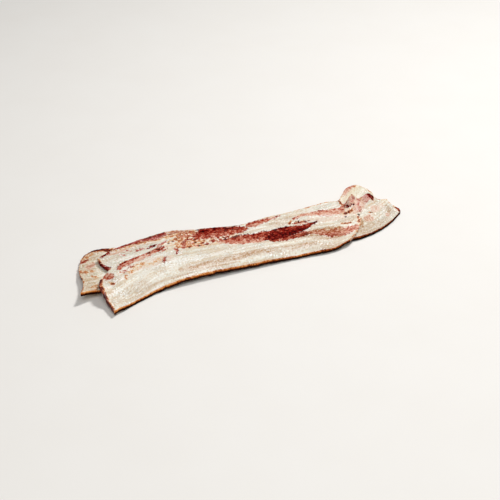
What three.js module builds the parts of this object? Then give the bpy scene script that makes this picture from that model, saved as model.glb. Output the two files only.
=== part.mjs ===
import * as THREE from "three";

// A fanned pile of streaky bacon: one slice flat on the ground and two draped over it.
// Millimetres. +X runs along the slices, +Y from the rind edge to the lean edge, +Z up.

// Driving sizes
const SLICE_THICKNESS = 3.2;
const AIR_GAP = 0.3;
const BEND_RADIUS = 15;
const GROUND_SOFTNESS = 1;
const SUPPORT_SPACING = 1.6;
const FLAT_TOLERANCE = 0.05;
const EDGE_ROUNDING = 0.6;
const UPRIGHT_WALL_SHARE = 0.4;
const END_BLEND_POWER = 6;

// The side wall of a slice, as the inset from the outline and the share of the thickness.
const EDGE_PROFILE = [
  { inset: EDGE_ROUNDING, share: 1 },
  { inset: 0, share: 0.5 + UPRIGHT_WALL_SHARE / 2 },
  { inset: 0, share: 0.5 - UPRIGHT_WALL_SHARE / 2 },
  { inset: EDGE_ROUNDING, share: 0 },
];

// How finely each slice is divided along and across
const BOTTOM_GRID = { columns: 62, rows: 11 };
const MIDDLE_GRID = { columns: 64, rows: 11 };
const TOP_GRID = { columns: 70, rows: 15 };

// Finishes
const PALE_FAT = new THREE.Color("#d8cabc");
const SHADED_FAT = new THREE.Color("#cbb6a6");
const FAT_ROUGHNESS = 0.35;

// Outlines: each edge is a few points that a smooth curve runs through.
// Rind and lean edges go from left to right, ends go from the rind edge to the lean edge.
const BOTTOM_OUTLINE = {
  rind: [[-142, -18], [-127.5, -16], [-86, -18.5], [4, -20.5], [60, -18], [94, -9.5], [128, 14.5]],
  lean: [
    [-126, 33.5], [-121, 39.5], [-114.5, 43], [-81, 34.5], [4, 26.5], [82, 26.5],
    [103.5, 28], [109, 34], [119, 42.5], [125, 42],
  ],
  left: [[-142, -18], [-135.5, -3.5], [-132, 19], [-126, 33.5]],
  right: [[128, 14.5], [134, 24.5], [129.5, 40.5], [125, 42]],
};
const MIDDLE_OUTLINE = {
  rind: [
    [-110, -12.5], [-60, -16.5], [4, -18.5], [49, -22], [72, -29.5], [99.5, -30], [120, -23.5],
    [140.5, -10],
  ],
  lean: [
    [-114.5, 26], [-94, 34], [-84.5, 35.5], [-61.5, 44], [-42.5, 43], [-21, 27], [49, 20],
    [89, 19.5], [100.5, 14.5], [107, 18.5], [113, 22], [116, 18.5], [125, 20.5], [130, 12.5],
    [140.5, 12.5],
  ],
  left: [[-110, -12.5], [-111, 5], [-114.5, 17.5], [-114.5, 26]],
  right: [[140.5, -10], [142, -7], [140.5, 1.5], [140.5, 12.5]],
};
const TOP_OUTLINE = {
  rind: [
    [-125, -44.5], [-104, -36.5], [-84.5, -30.5], [-71, -29.5], [-5, -32], [44.5, -36],
    [60, -38], [77.5, -35.5],
  ],
  lean: [
    [-122, -5], [-107, 3.5], [-64.5, 16], [-34, 26], [6, 17.5], [23, 17.5], [73, 19.5],
    [87, 20], [96, 16],
  ],
  left: [[-125, -44.5], [-126.5, -28], [-127, -17.5], [-122, -5]],
  right: [
    [77.5, -35.5], [92, -25], [99, -16], [99, -10.5], [93, -6], [92.5, -1], [95, 7], [96, 16],
  ],
};

// Places where a slice stands clear of what it lies on
const BOTTOM_CURLS = [
  { from: [-146, -21.5], to: [-146, -21.5], across: 23, along: 30, height: 6.6 },
  { from: [-135.5, 2.5], to: [-135.5, 2.5], across: 9, along: 12, height: 1.2 },
  { from: [106, 29.5], to: [128, 43.5], across: 4, along: 4, height: 1.6 },
];
const MIDDLE_CURLS = [
  { from: [103, 8.5], to: [111, 26.5], across: 4, along: 4, height: 4.2 },
  { from: [120, 6.5], to: [129, 20.5], across: 4.5, along: 4.5, height: 2.6 },
];
const TOP_CURLS = [
  { from: [-127, -23.5], to: [-123, -37.5], across: 9, along: 9, height: 2 },
];

// Waves that loosen the upper slices: wavelengths over two pi, the shift of the cross wave in
// radians, and the height between valley and crest
const WAVE = { lengthX: 17, lengthY: 26, crossX: 41, crossY: 11, shift: 1.9, height: 0.5 };

// The same for the uneven thickness that a knife leaves
const WANDER = { lengthX: 9, lengthY: 14, crossX: 23, crossY: 7, height: 0.15 };

// The stretch along +X over which a slice gets thinner. The lowest one keeps its full thickness.
const NO_TAPER = { start: 0, end: 1, thickness: SLICE_THICKNESS };
const MIDDLE_TAPER = { start: 70, end: 130, thickness: 2.3 };
const TOP_TAPER = { start: -56, end: 64, thickness: 2.8 };

// Lean meat dries lower than the fat beside it
const TOP_HOLLOWS = [
  { path: [[-24, -2], [20, -1], [48, -3], [66, 1]], halfWidth: 6, depth: 0.35 },
  { path: [[52, -24], [68, -20], [92, -19]], halfWidth: 5, depth: 0.25 },
];

// A smooth curve through points, by chord length, for t from 0 to 1.
function smoothCurve(points) {
  const knots = [0];
  for (let i = 1; i < points.length; i++) {
    knots.push(knots[i - 1] + distance(points[i - 1], points[i]));
  }
  const length = knots[points.length - 1];
  const t = knots.map((k) => k / length);
  const slopes = points.map((_, i) => [slopeAt(points, t, i, 0), slopeAt(points, t, i, 1)]);
  return {
    length,
    at(s) {
      let i = 0;
      while (i < points.length - 2 && s >= t[i + 1]) i++;
      const span = t[i + 1] - t[i];
      const k = (s - t[i]) / span;
      return [0, 1].map((axis) => {
        const start = points[i][axis] * (2 * k ** 3 - 3 * k ** 2 + 1);
        const end = points[i + 1][axis] * (3 * k ** 2 - 2 * k ** 3);
        const leave = slopes[i][axis] * span * (k ** 3 - 2 * k ** 2 + k);
        const arrive = slopes[i + 1][axis] * span * (k ** 3 - k ** 2);
        return start + end + leave + arrive;
      });
    },
  };
}

function distance(a, b) {
  return Math.hypot(a[0] - b[0], a[1] - b[1]);
}

// The slope of a curve at one of its points, from the chords on both sides.
function slopeAt(points, t, i, axis) {
  const chord = (j) => (points[j + 1][axis] - points[j][axis]) / (t[j + 1] - t[j]);
  const inner = (j) => {
    const before = t[j] - t[j - 1];
    const after = t[j + 1] - t[j];
    return (chord(j - 1) * after + chord(j) * before) / (before + after);
  };
  const last = points.length - 1;
  if (i === 0) return 1.5 * chord(0) - 0.5 * inner(1);
  if (i === last) return 1.5 * chord(last - 1) - 0.5 * inner(last - 1);
  return inner(i);
}

// How far a point is from the line between two others.
function distanceToLine(x, y, from, to) {
  const dx = to[0] - from[0];
  const dy = to[1] - from[1];
  const square = dx * dx + dy * dy;
  const share = square ? ((x - from[0]) * dx + (y - from[1]) * dy) / square : 0;
  const t = Math.min(1, Math.max(0, share));
  return [x - from[0] - t * dx, y - from[1] - t * dy];
}

function curlHeight(curls, x, y) {
  let height = 0;
  for (const curl of curls) {
    const [dx, dy] = distanceToLine(x, y, curl.from, curl.to);
    height += curl.height * Math.exp(-((dx / curl.across) ** 2) - (dy / curl.along) ** 2);
  }
  return Math.max(0, height - FLAT_TOLERANCE);
}

function waveHeight(x, y) {
  const along = Math.sin(x / WAVE.lengthX + y / WAVE.lengthY);
  const across = Math.sin(x / WAVE.crossX - y / WAVE.crossY + WAVE.shift);
  return 0.5 * WAVE.height * (1 + along * across);
}

function thicknessWander(x, y) {
  const along = Math.sin(x / WANDER.lengthX + y / WANDER.lengthY);
  const across = Math.sin(x / WANDER.crossX - y / WANDER.crossY);
  return WANDER.height * along * across;
}

function hollowDepth(hollows, x, y) {
  let depth = 0;
  for (const hollow of hollows) {
    for (let i = 1; i < hollow.path.length; i++) {
      const [dx, dy] = distanceToLine(x, y, hollow.path[i - 1], hollow.path[i]);
      const near = Math.exp(-(dx * dx + dy * dy) / hollow.halfWidth ** 2);
      depth = Math.max(depth, hollow.depth * near);
    }
  }
  return depth;
}

// How much thinner a slice has got at a place along it.
function taperLoss(x, taper) {
  const k = Math.min(1, Math.max(0, (x - taper.start) / (taper.end - taper.start)));
  return (SLICE_THICKNESS - taper.thickness) * k * k * (3 - 2 * k);
}

class Slice {
  constructor({ outline, grid, curls, hollows, taper, under }) {
    this.rind = smoothCurve(outline.rind);
    this.lean = smoothCurve(outline.lean);
    this.left = smoothCurve(outline.left);
    this.right = smoothCurve(outline.right);
    this.grid = grid;
    this.curls = curls;
    this.hollows = hollows;
    this.taper = taper;
    this.supports = under.flatMap((slice) => slice.supportPoints());
    this.length = this.rind.length;
    this.width = distance(this.rind.at(0.5), this.lean.at(0.5));
  }

  // The place in plan for a share u along the slice and v across it, a little inside the outline.
  plan(u, v, inset) {
    const su = inset / this.length + u * (1 - (2 * inset) / this.length);
    const sv = inset / this.width + v * (1 - (2 * inset) / this.width);
    const rind = this.rind.at(su);
    const lean = this.lean.at(su);
    const toLeft = (1 - su) ** END_BLEND_POWER;
    const toRight = su ** END_BLEND_POWER;
    return [0, 1].map((axis) => {
      const straight = (1 - sv) * rind[axis] + sv * lean[axis];
      const left = this.endBulge(this.left, sv, axis);
      const right = this.endBulge(this.right, sv, axis);
      return straight + toLeft * left + toRight * right;
    });
  }

  // How far an end strays from the straight line between its corners.
  endBulge(end, v, axis) {
    return end.at(v)[axis] - (1 - v) * end.at(0)[axis] - v * end.at(1)[axis];
  }

  // The underside: draped over the slices below, down to the ground, plus its own curls.
  underside(x, y) {
    const curl = curlHeight(this.curls, x, y);
    if (!this.supports.length) return curl;
    let carried = -Infinity;
    for (const [px, py, pz] of this.supports) {
      const square = (x - px) ** 2 + (y - py) ** 2;
      carried = Math.max(carried, pz - square / (2 * BEND_RADIUS));
    }
    carried += AIR_GAP;
    return curl + waveHeight(x, y) + 0.5 * (carried + Math.hypot(carried, GROUND_SOFTNESS));
  }

  thickness(x, y) {
    const loss = taperLoss(x, this.taper) + hollowDepth(this.hollows, x, y);
    return SLICE_THICKNESS + thicknessWander(x, y) - loss;
  }

  supportPoints() {
    const columns = Math.ceil(this.length / SUPPORT_SPACING);
    const rows = Math.ceil(this.width / SUPPORT_SPACING);
    const points = [];
    for (let i = 0; i <= columns; i++) {
      for (let j = 0; j <= rows; j++) {
        const [x, y] = this.plan(i / columns, j / rows, 0);
        points.push([x, y, this.underside(x, y) + this.thickness(x, y)]);
      }
    }
    return points;
  }

  // A closed body: a grid on top, a grid underneath and a rounded wall between them.
  geometry() {
    const { columns, rows } = this.grid;
    const positions = [];
    const indices = [];
    const vertex = (u, v, { inset, share }) => {
      const [x, y] = this.plan(u, v, inset);
      positions.push(x, y, this.underside(x, y) + share * this.thickness(x, y));
      return positions.length / 3 - 1;
    };
    const quad = (a, b, c, d) => indices.push(a, b, c, a, c, d);
    const grid = (level) => {
      const made = [];
      for (let i = 0; i <= columns; i++) {
        made.push([]);
        for (let j = 0; j <= rows; j++) made[i].push(vertex(i / columns, j / rows, level));
      }
      return made;
    };
    const upper = grid(EDGE_PROFILE[0]);
    const lower = grid(EDGE_PROFILE[EDGE_PROFILE.length - 1]);
    for (let i = 0; i < columns; i++) {
      for (let j = 0; j < rows; j++) {
        quad(upper[i][j], upper[i + 1][j], upper[i + 1][j + 1], upper[i][j + 1]);
        quad(lower[i][j], lower[i][j + 1], lower[i + 1][j + 1], lower[i + 1][j]);
      }
    }
    const rim = this.rimSteps(columns, rows);
    const rings = EDGE_PROFILE.map((level, k) => {
      if (k === 0) return rim.map(([i, j]) => upper[i][j]);
      if (k === EDGE_PROFILE.length - 1) return rim.map(([i, j]) => lower[i][j]);
      return rim.map(([i, j]) => vertex(i / columns, j / rows, level));
    });
    for (let k = 1; k < rings.length; k++) {
      for (let n = 0; n < rim.length; n++) {
        const next = (n + 1) % rim.length;
        quad(rings[k - 1][n], rings[k][n], rings[k][next], rings[k - 1][next]);
      }
    }
    const geometry = new THREE.BufferGeometry();
    geometry.setAttribute("position", new THREE.Float32BufferAttribute(positions, 3));
    geometry.setIndex(indices);
    geometry.computeVertexNormals();
    return geometry;
  }

  // The steps round the rim of a grid, counter-clockwise from above.
  rimSteps(columns, rows) {
    const steps = [];
    for (let i = 0; i < columns; i++) steps.push([i, 0]);
    for (let j = 0; j < rows; j++) steps.push([columns, j]);
    for (let i = columns; i > 0; i--) steps.push([i, rows]);
    for (let j = rows; j > 0; j--) steps.push([0, j]);
    return steps;
  }
}

function sliceMesh(name, slice, colour) {
  const material = new THREE.MeshStandardMaterial({
    color: colour,
    roughness: FAT_ROUGHNESS,
    metalness: 0,
  });
  const mesh = new THREE.Mesh(slice.geometry(), material);
  mesh.name = name;
  return mesh;
}

const bottomSlice = new Slice({
  outline: BOTTOM_OUTLINE,
  grid: BOTTOM_GRID,
  curls: BOTTOM_CURLS,
  hollows: [],
  taper: NO_TAPER,
  under: [],
});
const middleSlice = new Slice({
  outline: MIDDLE_OUTLINE,
  grid: MIDDLE_GRID,
  curls: MIDDLE_CURLS,
  hollows: [],
  taper: MIDDLE_TAPER,
  under: [bottomSlice],
});
const topSlice = new Slice({
  outline: TOP_OUTLINE,
  grid: TOP_GRID,
  curls: TOP_CURLS,
  hollows: TOP_HOLLOWS,
  taper: TOP_TAPER,
  under: [bottomSlice, middleSlice],
});

const bacon = new THREE.Group();
bacon.name = "bacon_slices";
bacon.add(sliceMesh("slice_bottom", bottomSlice, SHADED_FAT));
bacon.add(sliceMesh("slice_middle", middleSlice, SHADED_FAT));
bacon.add(sliceMesh("slice_top", topSlice, PALE_FAT));

export default bacon;
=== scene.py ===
"""A fanned pile of raw streaky bacon: three slices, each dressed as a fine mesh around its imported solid.

Shapes are worked out in millimetres and handed to Blender in metres.
+X runs along the slices, +Y from the rind edge to the lean edge, and +Z up through the pile.
"""

import logging
import math
from dataclasses import dataclass
from enum import Enum

import bpy
import numpy as np
from mathutils import Matrix, Quaternion, Vector


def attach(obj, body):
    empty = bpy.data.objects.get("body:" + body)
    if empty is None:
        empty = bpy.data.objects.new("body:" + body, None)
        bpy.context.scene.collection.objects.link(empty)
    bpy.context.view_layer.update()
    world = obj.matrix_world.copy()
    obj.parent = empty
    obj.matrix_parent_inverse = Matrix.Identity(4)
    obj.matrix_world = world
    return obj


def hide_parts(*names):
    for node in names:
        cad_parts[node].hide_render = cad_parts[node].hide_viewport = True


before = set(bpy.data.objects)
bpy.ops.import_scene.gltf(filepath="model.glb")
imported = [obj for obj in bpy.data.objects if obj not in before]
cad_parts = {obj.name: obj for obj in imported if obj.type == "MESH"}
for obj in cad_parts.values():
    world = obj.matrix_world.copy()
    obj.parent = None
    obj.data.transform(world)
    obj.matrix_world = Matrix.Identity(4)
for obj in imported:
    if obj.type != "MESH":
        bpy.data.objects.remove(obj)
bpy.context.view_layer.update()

LOG = logging.getLogger("bacon")

Array = np.ndarray
Points = tuple[tuple[float, ...], ...]
Spot = tuple[float, float, float]
Colour = tuple[float, float, float, float]
Stops = tuple[tuple[float, str], ...]
Socket = bpy.types.NodeSocket

# Driving sizes of the meat, in millimetres
SLICE_THICKNESS = 3.2
THICKNESS_WANDER = 0.15
AIR_GAP = 0.3
BEND_RADIUS = 15.0
GROUND_SOFTNESS = 1.0
SUPPORT_SPACING = 1.6
FLAT_TOLERANCE = 0.05
EDGE_ROUNDING = 0.6

# How steeply the bulge of an end dies away along the slice
END_BLEND_POWER = 6

# One millimetre in the metres of the scene
MILLIMETRE = 0.001

# Fineness of the meshes: the cells of the top in millimetres and the steps down the wall
CELL = 0.62
WALL_STEPS = 8

# How full the rounded wall is, from an ellipse at 1 to a square edge at 0
WALL_FULLNESS = 0.6

# How far cloudy noise usually strays from a half
NOISE_SPREAD = 0.1


def linear(code: str, alpha: float = 1.0) -> Colour:
    """Turns a hex colour as seen on a screen into linear light.

    Args:
        code: Six hex digits, with a hash sign before them.
        alpha: The fourth number of the result.

    Returns:
        Red, green, blue and alpha.
    """
    shown = [int(code[i:i + 2], 16) / 255 for i in (1, 3, 5)]
    light = [c / 12.92 if c <= 0.04045 else ((c + 0.055) / 1.055) ** 2.4 for c in shown]
    return (light[0], light[1], light[2], alpha)


def smoothstep(value: Array, low: float, high: float) -> Array:
    """A soft step from 0 at low to 1 at high, which falls where low lies above high."""
    share = np.clip((value - low) / (high - low), 0.0, 1.0)
    return share * share * (3.0 - 2.0 * share)


class SmoothCurve:
    """A smooth curve through points, spaced by the length of its chords in plan."""

    def __init__(self, points: Points) -> None:
        """Works out the knots and the slope at each point.

        Args:
            points: Two or more points, x and y first.
        """
        self.points = np.asarray(points, float)
        steps = np.linalg.norm(np.diff(self.points[:, :2], axis=0), axis=1)
        knots = np.concatenate([[0.0], np.cumsum(steps)])
        self.length = float(knots[-1])
        self.knots = knots / self.length
        self.spans = np.diff(self.knots)
        self.slopes = self._slopes()

    def _slopes(self) -> Array:
        """Works out the slope at each point from the chords on both sides.

        Returns:
            One slope for each point.
        """
        chords = np.diff(self.points, axis=0) / self.spans[:, None]
        if len(chords) == 1:
            return np.repeat(chords, 2, axis=0)
        before = self.spans[:-1, None]
        after = self.spans[1:, None]
        slopes = np.empty_like(self.points)
        slopes[1:-1] = (chords[:-1] * after + chords[1:] * before) / (before + after)
        slopes[0] = 1.5 * chords[0] - 0.5 * slopes[1]
        slopes[-1] = 1.5 * chords[-1] - 0.5 * slopes[-2]
        return slopes

    def at(self, share: Array) -> Array:
        """Points on the curve.

        Args:
            share: Places along the curve, from 0 to 1.

        Returns:
            One row of coordinates for each place.
        """
        share = np.asarray(share, float)
        i = np.clip(np.searchsorted(self.knots, share, side="right") - 1, 0, len(self.spans) - 1)
        span = self.spans[i][..., None]
        k = (share - self.knots[i])[..., None] / span
        start = self.points[i] * (2 * k**3 - 3 * k**2 + 1)
        end = self.points[i + 1] * (3 * k**2 - 2 * k**3)
        leave = self.slopes[i] * span * (k**3 - 2 * k**2 + k)
        arrive = self.slopes[i + 1] * span * (k**3 - k**2)
        return start + end + leave + arrive


@dataclass(frozen=True)
class Ripple:
    """One size of random relief.

    Size is the distance between a rise and the next fall. Shift moves the place where the grain is read,
    and squeeze scales it, so that a small one draws the relief out.
    """

    size: float
    height: float = 1.0
    shift: tuple[float, float] = (0.0, 0.0)
    squeeze: tuple[float, float] = (1.0, 1.0)


class Grain:
    """Smooth random relief that is the same on every run."""

    SIDE = 64
    GAIN = 1.5

    def __init__(self, seed: int) -> None:
        """Draws one slope for each corner of a square that repeats.

        Args:
            seed: The start of the random draws.
        """
        angles = np.random.default_rng(seed).uniform(0.0, 2.0 * math.pi, (self.SIDE, self.SIDE))
        self.slope_x = np.cos(angles)
        self.slope_y = np.sin(angles)

    def at(self, x: Array, y: Array, *ripples: Ripple) -> Array:
        """The relief at places in plan.

        Args:
            x: Places along X.
            y: Places along Y.
            ripples: The sizes of relief that are added up.

        Returns:
            Heights both ways, up to about those of the ripples added up.
        """
        total = np.zeros_like(x)
        for ripple in ripples:
            across = ripple.squeeze[0] * x + ripple.shift[0]
            up = ripple.squeeze[1] * y + ripple.shift[1]
            total += ripple.height * self._read(across / ripple.size, up / ripple.size)
        return total

    def _read(self, x: Array, y: Array) -> Array:
        """Reads the relief between the corners of the square.

        Args:
            x: Places along X, in steps between corners.
            y: Places along Y, in steps between corners.

        Returns:
            Heights of about -1 to 1.
        """
        column = np.floor(x).astype(int)
        row = np.floor(y).astype(int)
        dx = x - column
        dy = y - row
        blend_x = dx**3 * (dx * (dx * 6 - 15) + 10)
        blend_y = dy**3 * (dy * (dy * 6 - 15) + 10)
        total = np.zeros_like(x)
        for i, share_x in ((0, 1 - blend_x), (1, blend_x)):
            for j, share_y in ((0, 1 - blend_y), (1, blend_y)):
                corner = ((column + i) % self.SIDE, (row + j) % self.SIDE)
                rise = self.slope_x[corner] * (dx - i) + self.slope_y[corner] * (dy - j)
                total += share_x * share_y * rise
        return self.GAIN * total


class Lattice:
    """Heights on a square grid that can be read smoothly anywhere between."""

    BLUR = (1 / 16, 4 / 16, 6 / 16, 4 / 16, 1 / 16)
    BLUR_PASSES = 2

    def __init__(self, low: Array, step: float, heights: Array) -> None:
        """Keeps a softened copy of the heights.

        Args:
            low: The place of the first height in plan.
            step: The distance between neighbours.
            heights: Heights by column and row.
        """
        self.low = low
        self.step = step
        for axis in (0, 1) * self.BLUR_PASSES:
            heights = self._blur(heights, axis)
        self.heights = heights

    def _blur(self, heights: Array, axis: int) -> Array:
        """Softens the heights along one axis.

        Args:
            heights: Heights by column and row.
            axis: 0 for columns, 1 for rows.

        Returns:
            The softened heights.
        """
        reach = len(self.BLUR) // 2
        pads = [(reach, reach) if n == axis else (0, 0) for n in (0, 1)]
        padded = np.pad(heights, pads, mode="edge")
        count = heights.shape[axis]
        return sum(
            weight * np.take(padded, np.arange(n, n + count), axis=axis)
            for n, weight in enumerate(self.BLUR)
        )

    def at(self, x: Array, y: Array) -> Array:
        """The height at places in plan.

        Args:
            x: Places along X.
            y: Places along Y.

        Returns:
            One height for each place.
        """
        across = (x - self.low[0]) / self.step
        up = (y - self.low[1]) / self.step
        column = np.clip(np.floor(across).astype(int), 1, self.heights.shape[0] - 3)
        row = np.clip(np.floor(up).astype(int), 1, self.heights.shape[1] - 3)
        total = np.zeros_like(x)
        for i, share_x in enumerate(self._shares(across - column)):
            for j, share_y in enumerate(self._shares(up - row)):
                total += share_x * share_y * self.heights[column + i - 1, row + j - 1]
        return total

    @staticmethod
    def _shares(t: Array) -> tuple[Array, ...]:
        """How much each of four neighbours counts.

        Args:
            t: The share of the way between the middle two.

        Returns:
            Four shares that add up to one.
        """
        t = np.clip(t, 0.0, 1.0)
        return (
            (1 - t) ** 3 / 6,
            (3 * t**3 - 6 * t**2 + 4) / 6,
            (-3 * t**3 + 3 * t**2 + 3 * t + 1) / 6,
            t**3 / 6,
        )


class Edge(Enum):
    """The four edges of a slice."""

    RIND = "rind"
    LEAN = "lean"
    LEFT = "left"
    RIGHT = "right"


class Mark(Enum):
    """What a band is: lean, browned fat, fat tinged by juices, a stain that also serves as painted shade,
    a small hole darkened by painted shade, or a wet spot with white painted highlights.
    """

    LEAN = "lean"
    SMOKE = "smoke"
    BLUSH = "blush"
    STAIN_AND_SHADE = "stain_and_shade"
    PIT_SHADE = "pit_shade"
    WET_PAINTED_GLINT = "wet_painted_glint"


@dataclass(frozen=True)
class Band:
    """A band along a slice.

    The path holds x, y and half-width in millimetres. Strength is how dark lean meat is, or how strong a
    tint is. Tilt darkens the side towards the lean edge and lightens the other.
    """

    mark: Mark
    strength: float
    path: Points
    tilt: float = 0.0

    SPACING = 0.8
    REACH = 9.0
    LEAST_HALF_WIDTH = 0.5

    def read(self, x: Array, y: Array) -> tuple[Array, Array]:
        """How deep places lie inside the band, and on which side.

        Args:
            x: Places along X, in one row.
            y: Places along Y, in one row.

        Returns:
            Millimetres inside the border, less than 0 outside it, and the side from -1 to 1.
        """
        depth = np.full(x.shape, -self.REACH)
        side = np.zeros(x.shape)
        curve = SmoothCurve(self.path)
        middle = curve.at(np.linspace(0.0, 1.0, max(3, math.ceil(curve.length / self.SPACING) + 1)))
        low = middle[:, :2].min(0) - self.REACH
        high = middle[:, :2].max(0) + self.REACH
        near = np.flatnonzero((x > low[0]) & (x < high[0]) & (y > low[1]) & (y < high[1]))
        if not len(near):
            return depth, side
        dx = x[near, None] - middle[:, 0]
        dy = y[near, None] - middle[:, 1]
        inside = middle[:, 2] - np.hypot(dx, dy)
        best = inside.argmax(1)
        rows = np.arange(len(near))
        ahead = np.gradient(middle[:, :2], axis=0)
        ahead /= np.linalg.norm(ahead, axis=1)[:, None]
        depth[near] = np.maximum(inside[rows, best], -self.REACH)
        sideways = ahead[best, 0] * dy[rows, best] - ahead[best, 1] * dx[rows, best]
        side[near] = np.clip(sideways / np.maximum(middle[best, 2], self.LEAST_HALF_WIDTH), -1.0, 1.0)
        return depth, side


@dataclass(frozen=True)
class Curl:
    """A place where a slice stands clear of what it lies on, with its reach along X and along Y."""

    start: tuple[float, float]
    end: tuple[float, float]
    reach_x: float
    reach_y: float
    height: float

    def rise(self, x: Array, y: Array) -> Array:
        """The height of the curl at places in plan."""
        dx, dy = line_offset(x, y, self.start, self.end)
        return self.height * np.exp(-((dx / self.reach_x) ** 2) - (dy / self.reach_y) ** 2)


@dataclass(frozen=True)
class Hollow:
    """A shallow trough, or a ridge where the depth is less than 0."""

    path: Points
    half_width: float
    depth: float

    def drop(self, x: Array, y: Array) -> Array:
        """The depth of the trough at places in plan.

        Args:
            x: Places along X.
            y: Places along Y.

        Returns:
            One depth for each place.
        """
        nearest = np.zeros_like(x)
        for start, end in zip(self.path, self.path[1:]):
            dx, dy = line_offset(x, y, start, end)
            nearest = np.maximum(nearest, np.exp(-(dx**2 + dy**2) / self.half_width**2))
        return self.depth * nearest


def line_offset(x: Array, y: Array, start: tuple, end: tuple) -> tuple[Array, Array]:
    """How far places are from the nearest point of a line, along X and along Y.

    Args:
        x: Places along X.
        y: Places along Y.
        start: One end of the line.
        end: Its other end, which may be the same point.

    Returns:
        The two offsets.
    """
    run = (end[0] - start[0], end[1] - start[1])
    square = run[0] ** 2 + run[1] ** 2
    share = ((x - start[0]) * run[0] + (y - start[1]) * run[1]) / square if square else 0.0 * x
    share = np.clip(share, 0.0, 1.0)
    return x - start[0] - share * run[0], y - start[1] - share * run[1]


@dataclass(frozen=True)
class Wave:
    """A low wave that loosens the upper slices."""

    length_x: float = 17.0
    length_y: float = 26.0
    cross_x: float = 41.0
    cross_y: float = 11.0
    shift: float = 1.9
    height: float = 0.5

    def rise(self, x: Array, y: Array) -> Array:
        """The height of the wave at places in plan.

        Args:
            x: Places along X.
            y: Places along Y.

        Returns:
            One height for each place.
        """
        along = np.sin(x / self.length_x + y / self.length_y)
        across = np.sin(x / self.cross_x - y / self.cross_y + self.shift)
        return 0.5 * self.height * (1.0 + along * across)


@dataclass(frozen=True)
class Wander:
    """The uneven thickness of a slice cut by hand."""

    length_x: float = 9.0
    length_y: float = 14.0
    cross_x: float = 23.0
    cross_y: float = 7.0

    def rise(self, x: Array, y: Array) -> Array:
        """What is added to the thickness at places in plan."""
        along = np.sin(x / self.length_x + y / self.length_y)
        return THICKNESS_WANDER * along * np.sin(x / self.cross_x - y / self.cross_y)


@dataclass(frozen=True)
class Step:
    """A soft step from 0 at low to top at high, which falls where low lies above high."""

    low: float
    high: float
    top: float = 1.0


@dataclass(frozen=True)
class Texture:
    """A cloudy pattern.

    Its features have one size in millimetres, and a small squeeze draws them out along the slice.
    """

    size: float
    detail: float = 2.0
    squeeze: float = 1.0


class Pattern(Enum):
    """The cloudy patterns of raw meat, of which the last three run along the slice."""

    CLOUDS = Texture(8.0, 3.0)
    BLOTS = Texture(2.6)
    SPECKS = Texture(1.1)
    GRAIN = Texture(0.8, 3.0)
    FIBRES = Texture(1.3, squeeze=0.35)
    LINES = Texture(1.4, 3.0, 0.08)
    STRATA = Texture(3.0, squeeze=0.05)


# How far each pattern pushes a number up and down
Pushes = tuple[tuple[Pattern, float], ...]


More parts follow.
